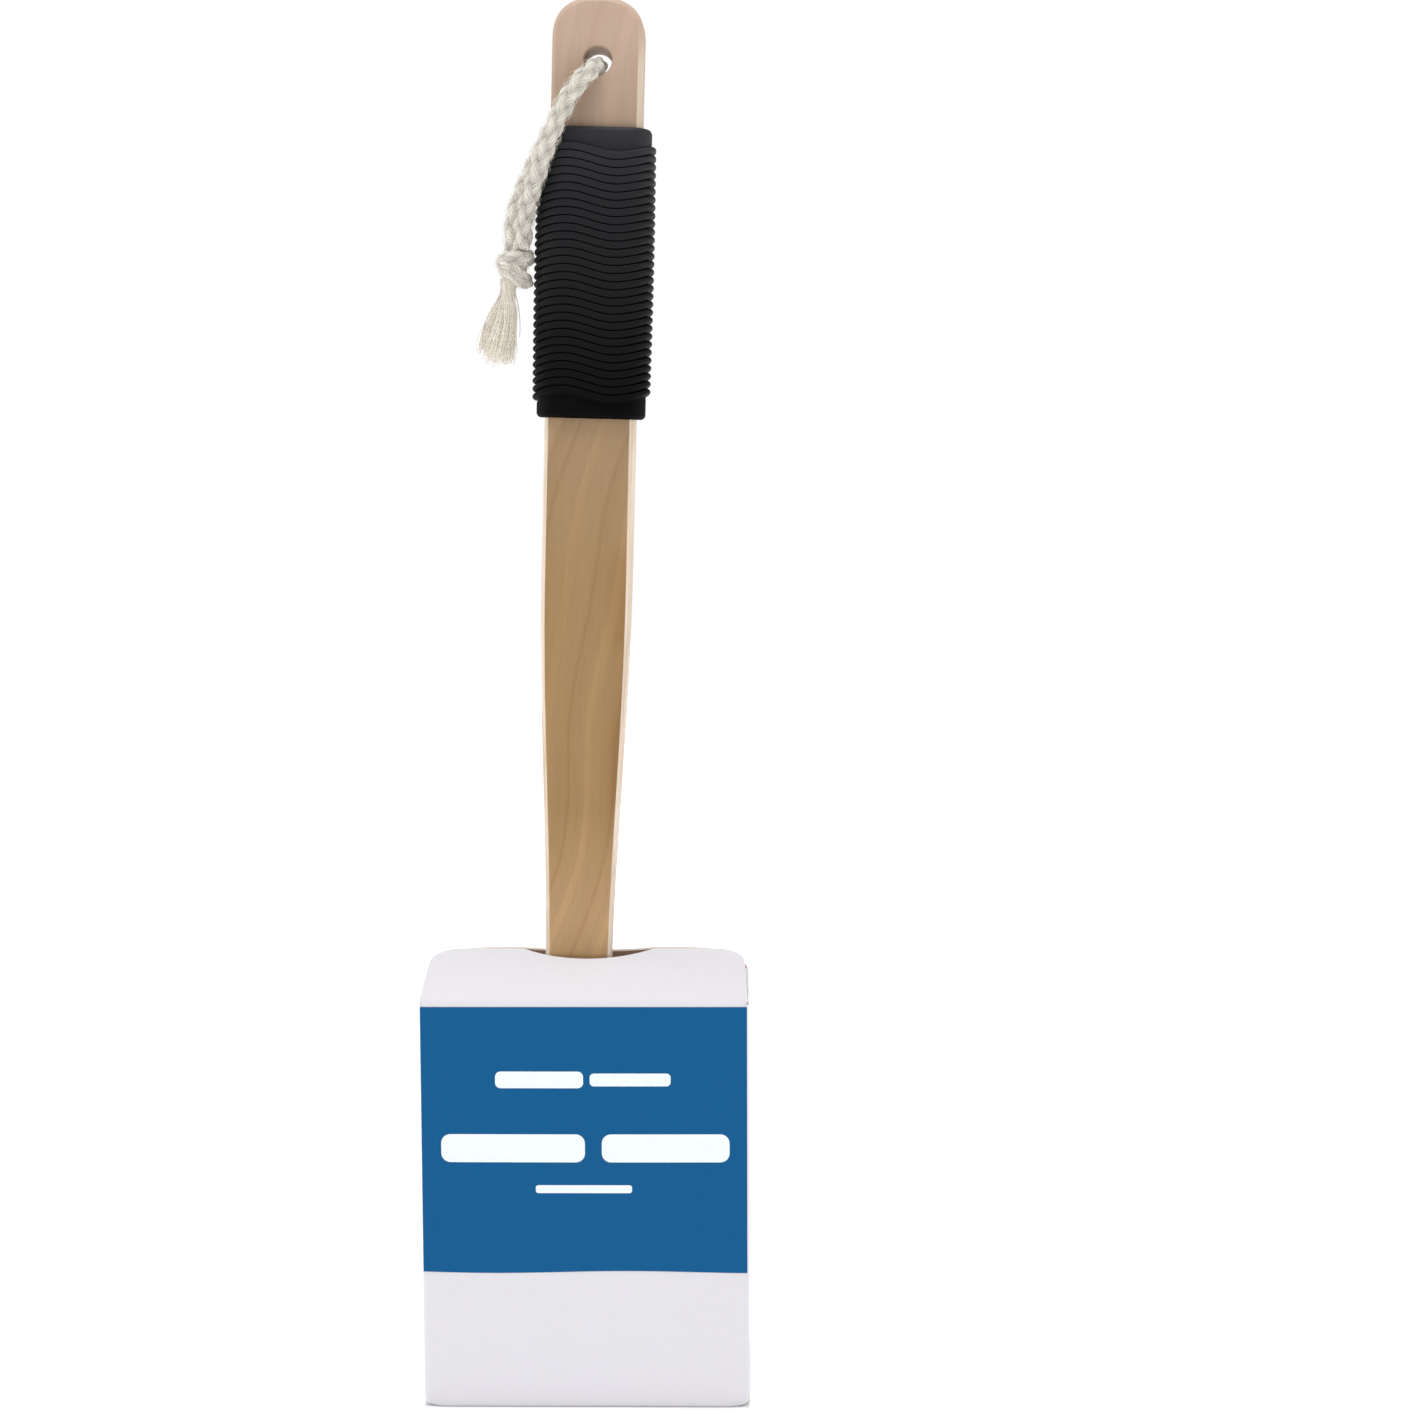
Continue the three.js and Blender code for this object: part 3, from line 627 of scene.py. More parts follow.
def rope_tail(name, start, end, seed):
    """A rope end that has come undone: a short twisted neck, then loose fibres that spread."""
    rng = random.Random(seed)
    start, end = np.array(start), np.array(end)
    length = np.linalg.norm(end - start)
    along = (end - start) / length
    across = np.cross(along, [0, 1, 0])
    across /= np.linalg.norm(across)
    depth = np.cross(across, along)
    bundle = Bundle()
    # the fibres cling together in locks that wave alike
    lock_turns = [rng.uniform(0, 2 * math.pi) for _ in range(TAIL_LOCKS)]
    lock_waves = [(rng.uniform(0.3, 1.0), rng.uniform(0, 2 * math.pi), rng.uniform(5, 8))
                  for _ in range(TAIL_LOCKS)]
    for index in range(TAIL_FIBRES):
        lock = index % TAIL_LOCKS
        angle = lock_turns[lock] + rng.gauss(0, 0.55)
        share = math.sqrt(rng.uniform(0, 1))
        reach = length * (rng.uniform(0.86, 1.0) if rng.random() < 0.85 else rng.uniform(0.6, 1.07))
        wave, phase = rng.uniform(0.1, 0.5), rng.uniform(0, 2 * math.pi)
        spread = rng.uniform(3.8, 5.9) * share
        twist = rng.uniform(0.9, 1.3)
        lock_wave, lock_phase, lock_rate = lock_waves[lock]
        points = []
        for t in np.linspace(0, 1, 15):
            neck = 2.3 * share * (1 - 0.22 * math.sin(math.pi * min(t * 2.6, 1)))
            radius = neck + (spread - neck) * float(smoothstep(t, 0.18, 0.9))
            turn = angle + twist * min(t * 3, 1)
            wobble = wave * math.sin(phase + 8 * t) * t + lock_wave * math.sin(lock_phase + lock_rate * t) * t
            points.append(start + along * reach * t + across * (radius * math.cos(turn) + wobble)
                          + depth * (radius * math.sin(turn) * 0.8 + wobble * 0.4))
        bundle.tube(points, np.linspace(0.20, 0.08, 15), sides=4, mark=rng.uniform(0.6, 1.0))
    return bundle.mesh(name, frayed, ROPE)


def add_rope():
    bundle = Bundle()
    line, across, up = braid(bundle, ROPE_ROUTE, ROPE_DIAMETER, seed=1, swell=0.06)
    rope = bundle.mesh("hanging_rope", cotton, ROPE)
    knot_bundle = Bundle()
    knot_lines = [braid(knot_bundle, route, KNOT_DIAMETER, seed=40 + index, pitch=KNOT_PITCH)
                  for index, route in enumerate(knot_routes())]
    knot = knot_bundle.mesh("overhand_knot", cotton, ROPE)
    tails = [rope_tail(name.replace("rope", "frayed"), *ends, seed=3 + index)
             for index, (name, ends) in enumerate(ROPE_TAILS.items())]
    hairs = fuzz("rope_fuzz", [(line, across, up)], 2600, radius=ROPE_DIAMETER / 2, seed=11)
    knot_hairs = fuzz("knot_fuzz", knot_lines, 1000, radius=2.45, seed=12)
    for piece in [rope, knot, hairs, knot_hairs] + tails:
        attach(piece, "rope")
    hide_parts("hang_rope")
    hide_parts("rope_knot")
    for tail, node in zip(tails, ROPE_TAILS):
        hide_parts(node)


add_rope()


# --- Handle ---

HANDLE_HALF_WIDTH = 14.0
# The edge's section, as (distance in from the side, distance down from the face): an eased bevel.
EDGE_SECTION = [(1.0, 0.0), (0.89, 0.06), (0.28, 0.80), (0.09, 1.15), (0.0, 1.70)]
# How far each front edge is planed back, at the grip and at the neck.
EDGE_RIGHT, EDGE_LEFT = (1.9, 1.3), (1.3, 1.4)
END_HEIGHT = 13.0
END_EXPONENT = 2.45
# The shaft narrows between these heights. The reaches keep its curve upright at each end.
TAPER_TOP = 255.0
TAPER_FOOT = 135.0
TAPER_TOP_REACH = 47
TAPER_FOOT_REACH = 42
NECK_HALF_WIDTH = 10.4
NECK_THICKNESS = 8.6
HEAD_HEIGHT = 108.0
TONGUE_TOP = 92.0
TONGUE_FOOT = 40.0
TONGUE_HALF_WIDTH = 8.0
TONGUE_THICKNESS = 8.0
HOLE_RADIUS = 4.3
# How far the hole's mouths are rounded, at the front and at the rear.
HOLE_ROUNDS = (0.6, 1.2)
HOLE_DIP = 0.12


def handle_half_outline():
    """Right half of the handle's outline as (x, z), from the top's middle down to the tongue's foot."""
    points = []
    shoulder = BRUSH_LENGTH - END_HEIGHT
    for angle in np.linspace(0, math.pi / 2, 40):
        points.append((HANDLE_HALF_WIDTH * math.sin(angle) ** (2 / END_EXPONENT),
                       shoulder + END_HEIGHT * math.cos(angle) ** (2 / END_EXPONENT)))
    for z in np.linspace(shoulder, TAPER_TOP, 60)[1:-1]:
        points.append((HANDLE_HALF_WIDTH, z))
    p = np.array([(HANDLE_HALF_WIDTH, TAPER_TOP), (HANDLE_HALF_WIDTH, TAPER_TOP - TAPER_TOP_REACH),
                  (NECK_HALF_WIDTH + 0.6, TAPER_FOOT + TAPER_FOOT_REACH), (NECK_HALF_WIDTH, TAPER_FOOT)])
    for t in np.linspace(0, 1, 60):
        s = 1 - t
        points.append(tuple(s ** 3 * p[0] + 3 * s * s * t * p[1] + 3 * s * t * t * p[2] + t ** 3 * p[3]))
    points += [(NECK_HALF_WIDTH, z) for z in np.linspace(TAPER_FOOT, HEAD_HEIGHT, 10)[1:]]
    for z in np.linspace(HEAD_HEIGHT, TONGUE_TOP, 8)[1:]:
        share = (HEAD_HEIGHT - z) / (HEAD_HEIGHT - TONGUE_TOP)
        points.append((NECK_HALF_WIDTH + (TONGUE_HALF_WIDTH - NECK_HALF_WIDTH) * share, z))
    for angle in np.linspace(0, math.pi / 2, 12):
        points.append((TONGUE_HALF_WIDTH * math.cos(angle),
                       TONGUE_FOOT + TONGUE_HALF_WIDTH * (1 - math.sin(angle))))
    return np.array(points)


def handle_thickness(z):
    neck = NECK_THICKNESS + (HANDLE_THICKNESS - NECK_THICKNESS) * smoothstep(z, TAPER_FOOT, TAPER_TOP)
    return TONGUE_THICKNESS + (neck - TONGUE_THICKNESS) * smoothstep(z, TONGUE_TOP - 1, HEAD_HEIGHT)


def mouth_profile(rounding):
    """Half of the bore's section, as (radius, distance along the bore)."""
    face = HANDLE_THICKNESS / 2
    profile = [(HOLE_RADIUS, 0.0)]
    for angle in np.linspace(0, math.pi / 2, 8):
        radius = HOLE_RADIUS + rounding * (1 - math.cos(angle))
        profile.append((radius, face - rounding * (1 - math.sin(angle))))
    return profile + [(HOLE_RADIUS + rounding, face + 2)]


def hole_cutter():
    """A bore with rounded mouths, drilled a little downwards from the front."""
    front, rear = (mouth_profile(rounding) for rounding in HOLE_ROUNDS)
    profile = [(r, -y) for r, y in front[:0:-1]] + rear
    sides = 64
    verts = []
    for r, y in profile:
        for side in range(sides):
            angle = side / sides * 2 * math.pi
            verts.append((r * math.cos(angle), y, HOLE_HEIGHT + r * math.sin(angle) - HOLE_DIP * y))
    # painted light: the bore and its rounded mouths are given the pale edge tone, which lifts the shade
    # inside the hole
    pale_and_painted_light = np.full(len(verts), 0.85)
    cutter = add_mesh("cutter", verts, tube_faces(len(profile), sides), wood, BRUSH, smooth=False, marks=pale_and_painted_light)
    close_up(cutter)
    return cutter


def apply_modifiers(piece):
    graph = bpy.context.evaluated_depsgraph_get()
    mesh = bpy.data.meshes.new_from_object(piece.evaluated_get(graph))
    old = piece.data
    piece.modifiers.clear()
    piece.data = mesh
    mesh.name = old.name
    bpy.data.meshes.remove(old)


def cut_with(piece, cutter):
    modifier = piece.modifiers.new("cut", "BOOLEAN")
    modifier.operation = "DIFFERENCE"
    modifier.solver = "EXACT"
    modifier.object = cutter
    bpy.context.view_layer.update()
    apply_modifiers(piece)
    bpy.data.objects.remove(cutter)


def edge_paleness_and_highlight(x, z, drop):
    """How pale and clean the edge is, its paleness partly painted highlight from the light along the sides:
    most on the shaft, least round the left of the paddle.
    """
    shaft = 1 - float(smoothstep(z, GRIP_FOOT + 20, GRIP_TOP - 20))
    paddle = 0.0 if x < 0 else 0.55 * (1 - float(smoothstep(z, BRUSH_LENGTH - 22, BRUSH_LENGTH - 6)))
    return float(drop > 0.03) * (shaft + (1 - shaft) * paddle)


def add_handle():
    half = handle_half_outline()
    tangent = np.gradient(half, axis=0)
    normal = np.column_stack([-tangent[:, 1], tangent[:, 0]])
    normal /= np.linalg.norm(normal, axis=1)[:, None]
    normal[0] = (0, 1)
    normal[-1] = (0, -1)
    face = HANDLE_THICKNESS / 2
    columns = 7
    verts, faces, marks = [], [], []
    for side, edge in ((1, EDGE_RIGHT), (-1, EDGE_LEFT)):
        rows = []
        for (x, z), (nx, nz) in zip(half, normal):
            # near the top's middle both sides use the same edge
            width = edge[1] + (edge[0] - edge[1]) * float(smoothstep(z, TAPER_FOOT, GRIP_FOOT))
            width += (1.5 - width) * float(smoothstep(z, BRUSH_LENGTH - 12, BRUSH_LENGTH - 2))
            section = [(inset * width, -(face - drop), drop) for inset, drop in EDGE_SECTION]
            section += [(0.0, -2.0, 1.0), (0.0, 2.0, 1.0)]
            section += [(inset, -y, drop) for inset, y, drop in section[4::-1]]
            ring = [(max(x - nx * inset, 0), y, z - nz * inset, edge_paleness_and_highlight(side * x, z, drop))
                    for inset, y, drop in section]
            first, last = ring[0], ring[-1]
            front = [(first[0] * c / columns, first[1], first[2], 0.0) for c in range(columns)]
            back = [(last[0] * c / columns, last[1], last[2], 0.0) for c in range(columns - 1, -1, -1)]
            row = []
            for px, py, pz, mark in front + ring + back:
                row.append(len(verts))
                verts.append((side * px, py * float(handle_thickness(pz)) / HANDLE_THICKNESS, pz))
                marks.append(mark)
            rows.append(row)
        for a, b in zip(rows, rows[1:]):
            for c in range(len(a) - 1):
                quad = (a[c], a[c + 1], b[c + 1], b[c])
                faces.append(quad if side > 0 else quad[::-1])
    handle = add_mesh("wooden_handle", verts, faces, wood, BRUSH, marks=marks)
    close_up(handle)
    cut_with(handle, hole_cutter())
    keep_edges_sharp(handle, 30)
    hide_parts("handle")
    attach(handle, "brush")


add_handle()


# --- Grip sleeve ---

GRIP_BAND = 6.2
GRIP_HALF_WIDTH = 16.8
GRIP_HALF_DEPTH = 8.8
GRIP_CORNER = 7.6
GRIP_RIM_ROUND = 1.5
GRIP_WALL = 2.4
# How much fuller the sleeve is at its middle, and how deep its grooves lie.
GRIP_BARREL = 0.35
GROOVE_DEPTH = 0.35
RIB_COUNT = 31
RIB_HEIGHT = 1.3
RIB_WAVE = 1.35
RIB_WAVES_ROUND = 3
RIB_CREST_PLACE = -8.3


def section_loop(half_width, half_depth, corner, count):
    """Points, outward directions and distances round a rounded rectangle, from the front's middle."""
    x, y = half_width - corner, half_depth - corner
    quarter = corner * math.pi / 2
    lengths = [2 * x, quarter, 2 * y, quarter] * 2
    total = 2 * lengths[0] + 2 * lengths[2] + 4 * quarter
    ways = np.array([(1, 0), (0, 1), (-1, 0), (0, -1)], float)
    corners = np.array([(x, -y), (x, y), (-x, y), (-x, -y)])
    points, normals, places = [], [], []
    for index in range(count):
        place = index / count * total
        s = (place + x) % total
        side = 0
        while s > lengths[side]:
            s -= lengths[side]
            side += 1
        turn = side // 2
        centre, out = corners[turn], ways[turn - 1]
        if side % 2 == 0:
            centre = centre - ways[turn] * (lengths[side] - s)
        else:
            angle = s / quarter * math.pi / 2
            out = out * math.cos(angle) + ways[turn] * math.sin(angle)
        points.append(centre + out * corner)
        normals.append(out)
        places.append(place if place < total / 2 else place - total)
    return np.array(points), np.array(normals), np.array(places), total


def add_grip():
    """A moulded sleeve whose rows of vertices follow its wavy ribs."""
    count = 288
    points, normals, places, total = section_loop(GRIP_HALF_WIDTH, GRIP_HALF_DEPTH, GRIP_CORNER, count)
    wave = RIB_WAVE * np.cos(2 * np.pi * RIB_WAVES_ROUND * (places - RIB_CREST_PLACE) / total)
    low, high = GRIP_FOOT + GRIP_BAND, GRIP_TOP - GRIP_BAND
    pitch = (high - low) / RIB_COUNT
    side_share = np.abs(normals[:, 0]) ** 2
    # rows have a height, a height over the sleeve's surface or a place on a rib, and how far they
    # follow the ribs' wave. Both ends are alike: the wall, the rounded rim and the smooth band.
    end = [(2, -GRIP_WALL, 0), (0, -GRIP_WALL, 0)]
    for degrees in range(0, 91, 15):
        angle = math.radians(degrees)
        end.append((GRIP_RIM_ROUND * (1 - math.cos(angle)), -GRIP_RIM_ROUND * (1 - math.sin(angle)), 0))
    end += [(GRIP_RIM_ROUND + 0.8, 0.0, 0.35), (GRIP_BAND - 0.7, 0.0, 0.9)]
    rows = [(GRIP_FOOT + rise, value, follow) for rise, value, follow in end]
    # one rib runs from the middle of a groove to the middle of the next
    phases = [0.0, 0.07, 0.11, 0.145, 0.19, 0.26, 0.38, 0.5, 0.62, 0.74, 0.81, 0.855, 0.89, 0.93]
    for rib in range(RIB_COUNT):
        rows += [(low + (rib + phase) * pitch, phase, 1) for phase in phases]
    rows += [(high, 0.0, 1)]
    first_rib, last_rib = len(end), len(end) + RIB_COUNT * len(phases)
    rows += [(GRIP_TOP - rise, value, follow) for rise, value, follow in end[::-1]]
    verts, marks = [], []
    for number, (z, value, follow) in enumerate(rows):
        if first_rib <= number <= last_rib:
            reach = np.abs(value - 0.5) * 2
            flat = np.clip((1 - reach) / 0.30, 0, 1)
            flat = np.sqrt(1 - (1 - flat) ** 2)
            bead = np.clip(1 - (reach / 0.86) ** 2, 0, 1) ** 0.5
            rib = flat * (1 - side_share) + bead * side_share
            barrel = GRIP_BARREL * math.sin(math.pi * (z - GRIP_FOOT) / (GRIP_TOP - GRIP_FOOT))
            height = rib * RIB_HEIGHT + barrel - GROOVE_DEPTH * (1 - rib)
            # the rib's share also darkens the rubber in the grooves: painted shade
            mark = rib
        else:
            height = np.full(count, float(value))
            mark = np.ones(count)
        loop = points + normals * height[:, None]
        level = z + wave * follow
        verts += list(zip(loop[:, 0], loop[:, 1], level))
        marks += list(mark)
    faces = grid_faces(len(rows), count, wrap_columns=True)
    grip = add_mesh("ribbed_grip", verts, faces, rubber, BRUSH, marks=marks)
    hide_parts("grip_sleeve")
    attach(grip, "brush")


add_grip()


# --- Scrubbing head ---

HEAD_WIDTH = 86.0
HEAD_THICKNESS = 38.0
HEAD_CORNER = 38.0
BINDING_WIDTH = 8.0
BINDING_PROUD = 0.15
STITCH_COUNT = 92
# Each stitch shows over this share of its pitch.
STITCH_START, STITCH_END = 0.12, 0.78
THREAD_RADIUS = 0.22
# How far each cover's soft base lies under its net.
COVER_INSET = 1.2
# The net's fine tangled fibres, then its thick ones, which run along the head: how many there are,
# how far they turn from its length, their thinnest and thickest radius, and their lowest and highest lie.
FIBRE_LAYERS = [(900, 0.9, 0.13, 0.26, -1.0, -0.5), (520, 0.28, 0.24, 0.42, -0.7, -0.2)]
PAD_STEPS = 720
PAD_LOOP = section_loop(HEAD_WIDTH / 2 - HEAD_THICKNESS / 2, HEAD_HEIGHT / 2 - HEAD_THICKNESS / 2,
                        HEAD_CORNER - HEAD_THICKNESS / 2, PAD_STEPS)


def pad_base(place):
    """A point and the way out on the line that the pad's round rim is swept along."""
    points, normals = PAD_LOOP[:2]
    index = int(round(place * PAD_STEPS)) % PAD_STEPS
    return (points[index][0], points[index][1] + HEAD_HEIGHT / 2), normals[index]


def pad_point(place, latitude):
    """A point under the net: place runs once round the rim, latitude from the front to the back."""
    base, out = pad_base(place)
    rim = HEAD_THICKNESS / 2 - COVER_INSET
    x, z = np.array(base) + np.array(out) * rim * math.cos(latitude)
    return np.array((x, rim * math.sin(latitude), z))


def dimple(x, z):
    """How deep the pressed cover's shallow dimples are at (x, z)."""
    return 0.5 * math.sin(x * 0.55) * math.sin(z * 0.5)


def near_neck(point, margin):
    """Whether the point is within a margin of the place where the neck enters the head."""
    x, y, z = point
    in_width = abs(x) < NECK_HALF_WIDTH + margin
    return in_width and abs(y) < NECK_THICKNESS / 2 + margin and z > HEAD_HEIGHT - 16


def add_cover(name, node, sign, seed):
    """One pressed loofah cover: a soft base with a net of fibres laid over it."""
    rng = random.Random(seed)
    loop = 144
    latitudes = [math.radians(value) for value in np.linspace(13, 90, 16)]
    verts = []
    for latitude in latitudes:
        for index in range(loop):
            point = pad_point(index / loop, sign * latitude)
            verts.append(point - np.array((0, sign * dimple(point[0], point[2]), 0)))
    faces = grid_faces(len(latitudes), loop, wrap_columns=True, flip=sign > 0)
    last = (len(latitudes) - 1) * loop
    base_z = HEAD_HEIGHT / 2
    inner_rings = 9
    for ring in range(1, inner_rings + 1):
        share = 1 - ring / inner_rings
        for index in range(loop):
            (bx, bz), _ = pad_base(index / loop)
            x, z = bx * share, base_z + (bz - base_z) * share
            verts.append((x, sign * (HEAD_THICKNESS / 2 - COVER_INSET - dimple(x, z)), z))
    faces += grid_faces(inner_rings + 1, loop, wrap_columns=True, start=last, flip=sign > 0)
    base = add_mesh(name + "_base", verts, faces, loofah_fibre, BRUSH, marks=np.zeros(len(verts)))
    with edited(base) as work:
        bmesh.ops.remove_doubles(work, verts=work.verts, dist=1e-6)
    bundle = Bundle()
    for count, spread, thin, thick, low, high in FIBRE_LAYERS:
        for _ in range(count):
            fibre = loofah_fibre_points(rng, sign, spread, low, high)
            if len(fibre) > 4:
                radius = rng.uniform(thin, thick) * np.sin(np.linspace(0.3, math.pi - 0.3, len(fibre))) ** 0.5
                bundle.tube(fibre, radius, sides=5, mark=rng.uniform(0.3, 1.0))
    net = bundle.mesh(name + "_net", loofah_fibre, BRUSH)
    for piece in (base, net):
        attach(piece, "brush")
    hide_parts(node)


def loofah_fibre_points(rng, sign, spread, low, high):
    """One fibre that wanders over a cover, mostly along the head."""
    x, z = rng.uniform(-43, 43), rng.uniform(0, HEAD_HEIGHT)
    heading = rng.gauss(math.pi / 2, spread)
    curl = rng.uniform(-0.09, 0.09)
    run = rng.uniform(10, 30)
    lift, wave = rng.uniform(low, high), rng.uniform(0, 6)
    points = []
    for step in range(14):
        x += math.cos(heading) * run / 13
        z += math.sin(heading) * run / 13
        heading += curl + rng.gauss(0, 0.05)
        depth = cover_depth(x, z)
        if depth is None or depth < NECK_THICKNESS / 2 + 2 and near_neck((x, 0, z), 1.5):
            break
        slope_x = ((cover_depth(x + 0.3, z) or depth) - (cover_depth(x - 0.3, z) or depth)) / 0.6
        slope_z = ((cover_depth(x, z + 0.3) or depth) - (cover_depth(x, z - 0.3) or depth)) / 0.6
        outward = np.array((-slope_x, 1.0, -slope_z))
        outward /= np.linalg.norm(outward)
        point = np.array((x, depth, z)) + outward * (lift + 0.2 * math.sin(step * 1.1 + wave))
        points.append(point * (1, sign, 1))
    return points


def cover_depth(x, z):
    """How far the pad's face stands from its middle plane at (x, z), or None off the pad."""
    half = HEAD_THICKNESS / 2
    px = max(abs(x) - (HEAD_WIDTH / 2 - HEAD_CORNER), 0)
    pz = max(abs(z - HEAD_HEIGHT / 2) - (HEAD_HEIGHT / 2 - HEAD_CORNER), 0)
    from_edge = HEAD_CORNER - math.hypot(px, pz)
    if from_edge < 0.55:
        return None
    if from_edge >= half:
        return half
    return math.sqrt(half ** 2 - (half - from_edge) ** 2)


def add_binding():
    loop = 360
    half = HEAD_THICKNESS / 2
    rows = []
    for y in np.linspace(-BINDING_WIDTH / 2, BINDING_WIDTH / 2, 9):
        edge = abs(y) / (BINDING_WIDTH / 2)
        # the tape's edges are pressed into the covers
        rows.append((y, BINDING_PROUD - 0.55 * max(edge - 0.7, 0) / 0.3))
    rows = [(-BINDING_WIDTH / 2, -2.3)] + rows + [(BINDING_WIDTH / 2, -2.3)]
    verts, uvs = [], []
    for y, lift in rows:
        radius = math.sqrt(half ** 2 - y * y) + lift
        for index in range(loop):
            (bx, bz), out = pad_base(index / loop)
            verts.append((bx + out[0] * radius, y, bz + out[1] * radius))
            uvs.append((index / loop * 320, y))
    faces = grid_faces(len(rows), loop, wrap_columns=True)
    keep = [face for face in faces if not near_neck(np.mean([verts[i] for i in face], axis=0), 0.2)]
    binding = add_mesh("binding_tape", verts, keep, tape, BRUSH, uvs=uvs)
    stitches = Bundle()
    for side in (-1, 1):
        y = side * (BINDING_WIDTH / 2 - 0.9)
        radius = math.sqrt(half ** 2 - y * y) + THREAD_RADIUS
        for stitch in range(STITCH_COUNT):
            points = []
            for t in np.linspace(STITCH_START, STITCH_END, 6):
                (bx, bz), out = pad_base((stitch + t) / STITCH_COUNT)
                share = (t - STITCH_START) / (STITCH_END - STITCH_START)
                hump = radius + 0.16 * math.sin(math.pi * share)
                points.append((bx + out[0] * hump, y, bz + out[1] * hump))
            if not near_neck(points[3], 1.0):
                stitches.tube(points, THREAD_RADIUS, sides=6)
    thread = stitches.mesh("binding_stitches", frayed, BRUSH)
    for piece in (binding, thread):
        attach(piece, "brush")
    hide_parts("edge_binding")


def finish_node(node, material):
    piece = frame["nodes"][node]
    piece.data.materials.clear()
    piece.data.materials.append(material)


add_cover("loofah_front_cover", "loofah_front", -1, 21)
add_cover("loofah_back_cover", "loofah_back", 1, 22)
add_binding()
finish_node("foam_core", foam)
finish_node("pad_rivet_upper", steel)
finish_node("pad_rivet_lower", steel)


# --- Carton ---

BOARD = 0.5
CORNER_ROUND = 1.6
FOOT_ROUND = 0.7
CORNER_WEAR = 2.0
PANEL_BOW = 0.35
FLAP_THICKNESS = 0.6
# How far the creases at the top stand over the walls.
CREASE_RISE = 0.5
# Over this height from the ground, and this far from each corner, the foot is worn.
WEAR_HEIGHT = 3.0
WEAR_REACH = 5.0
BOARD_SET = [board, kraft, cut_edge]
HALF_WIDTH = (carton_high[0] - carton_low[0]) / 2
HALF_DEPTH = (carton_high[1] - carton_low[1]) / 2
# From each wall's middle to where its rounded corner begins.
FLAT_WIDTH = HALF_WIDTH - CORNER_ROUND
FLAT_DEPTH = HALF_DEPTH - CORNER_ROUND


def bulge(distance, flat):
    """The share of a panel's bow at a distance from its upright middle line."""
    return math.cos(math.pi / 2 * min(abs(distance) / flat, 1))


def add_sleeve():
    """The folded tube of board: four walls with rounded upright creases."""
    mid_y = (carton_high[1] + carton_low[1]) / 2
    count = 320
    points, normals, _, _ = section_loop(HALF_WIDTH, HALF_DEPTH, CORNER_ROUND, count)
    front_back = np.abs(normals[:, 1]) > 0.5
    tops = np.where(front_back, WALL_HEIGHT, SIDE_WALL_HEIGHT) + CREASE_RISE
    # the foot's rows have a height and an inset, and the rows above it a share of the wall's height
    foot = [(0.0, FOOT_ROUND), (0.1, 0.38), (0.35, 0.1)]
    foot += [(z, 0.0) for z in (FOOT_ROUND, 1.1, 1.6, 2.2, WEAR_HEIGHT)]
    levels = [(z, inset, 0.0) for z, inset in foot]
    levels += [(None, 0.0, share) for share in np.linspace(0.02, 1, 30)]
    rows = len(levels)
    verts = []
    for thickness in (0.0, BOARD):
        for z, inset, share in levels:
            for (px, py), (nx, ny), top, faces_y in zip(points, normals, tops, front_back):
                height = WEAR_HEIGHT + (top - WEAR_HEIGHT) * share if z is None else z
                across = bulge(px, FLAT_WIDTH) if faces_y else bulge(py, FLAT_DEPTH)
                bow = PANEL_BOW * across * math.sin(math.pi * share)
                gap = math.hypot(max(FLAT_WIDTH - abs(px), 0), max(FLAT_DEPTH - abs(py), 0))
                worn = max(1 - gap / WEAR_REACH, 0) ** 2 * max(1 - height / WEAR_HEIGHT, 0) ** 2
                out = bow - inset - thickness - CORNER_WEAR * worn
                lift = thickness if height < 0.2 else 0.0
                verts.append((px + nx * out, py + ny * out + mid_y, height + lift))
    size = rows * count
    outer = grid_faces(rows, count, wrap_columns=True)
    inner = grid_faces(rows, count, wrap_columns=True, start=size, flip=True)
    faces = outer + inner
    slots = [0] * len(outer) + [1] * len(inner)
    for row, flip in ((0, True), (rows - 1, False)):
        for index in range(count):
            a = row * count + index
            b = row * count + (index + 1) % count
            quad = (a, b, size + b, size + a)
            faces.append(quad[::-1] if flip else quad)
            slots.append(2)
    sleeve = add_mesh("carton_sleeve", verts, faces, (BOARD_SET, slots))
    keep_edges_sharp(sleeve, 60)
    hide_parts("front_panel", "back_panel", "left_panel", "right_panel")
    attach(sleeve, "carton")


# How far the label's two faces and its white print stand off the board.
LABEL_FACES = (0.13, 0.02)
PRINT_FACE = 0.17


def add_label():
    low, high = (np.array(corner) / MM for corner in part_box("front_label"))
    columns, rows = 60, 40
    verts = []
    for layer in LABEL_FACES:
        for row in range(rows):
            for column in range(columns):
                x = low[0] + (high[0] - low[0]) * column / (columns - 1)
                # its lower edge is a little wavy
                foot = low[2] + 0.5 + 0.35 * math.sin(x * 0.075 + 0.6)
                z = foot + (high[2] - foot) * row / (rows - 1)
                verts.append((x, carton_low[1] - front_bow(x, z) - layer, z))
    border = grid_border(rows, columns)
    faces = sum(sheet_faces(rows, columns, border + border[:1]), [])
    label = add_mesh("front_print_label", verts, faces, label_blue)
    keep_edges_sharp(label, 60)
    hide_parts("front_label")
    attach(label, "carton")
    add_label_bars()


def front_bow(x, z):
    """How far the front panel bows outwards at (x, z)."""
    share = (z - FOOT_ROUND) / (WALL_HEIGHT - FOOT_ROUND)
    return PANEL_BOW * bulge(x, FLAT_WIDTH) * math.sin(math.pi * min(max(share, 0), 1))


# Plain bars stand where a real label has its words: (left, right, middle height, thickness).
LABEL_BARS = [
    (-27.2, -0.2, 103.6, 5.2), (1.8, 26.6, 103.6, 4.0),
    (-44.0, 0.2, 82.2, 8.8), (5.4, 44.6, 82.2, 8.8),
    (-15.0, 14.6, 69.4, 2.5),
]


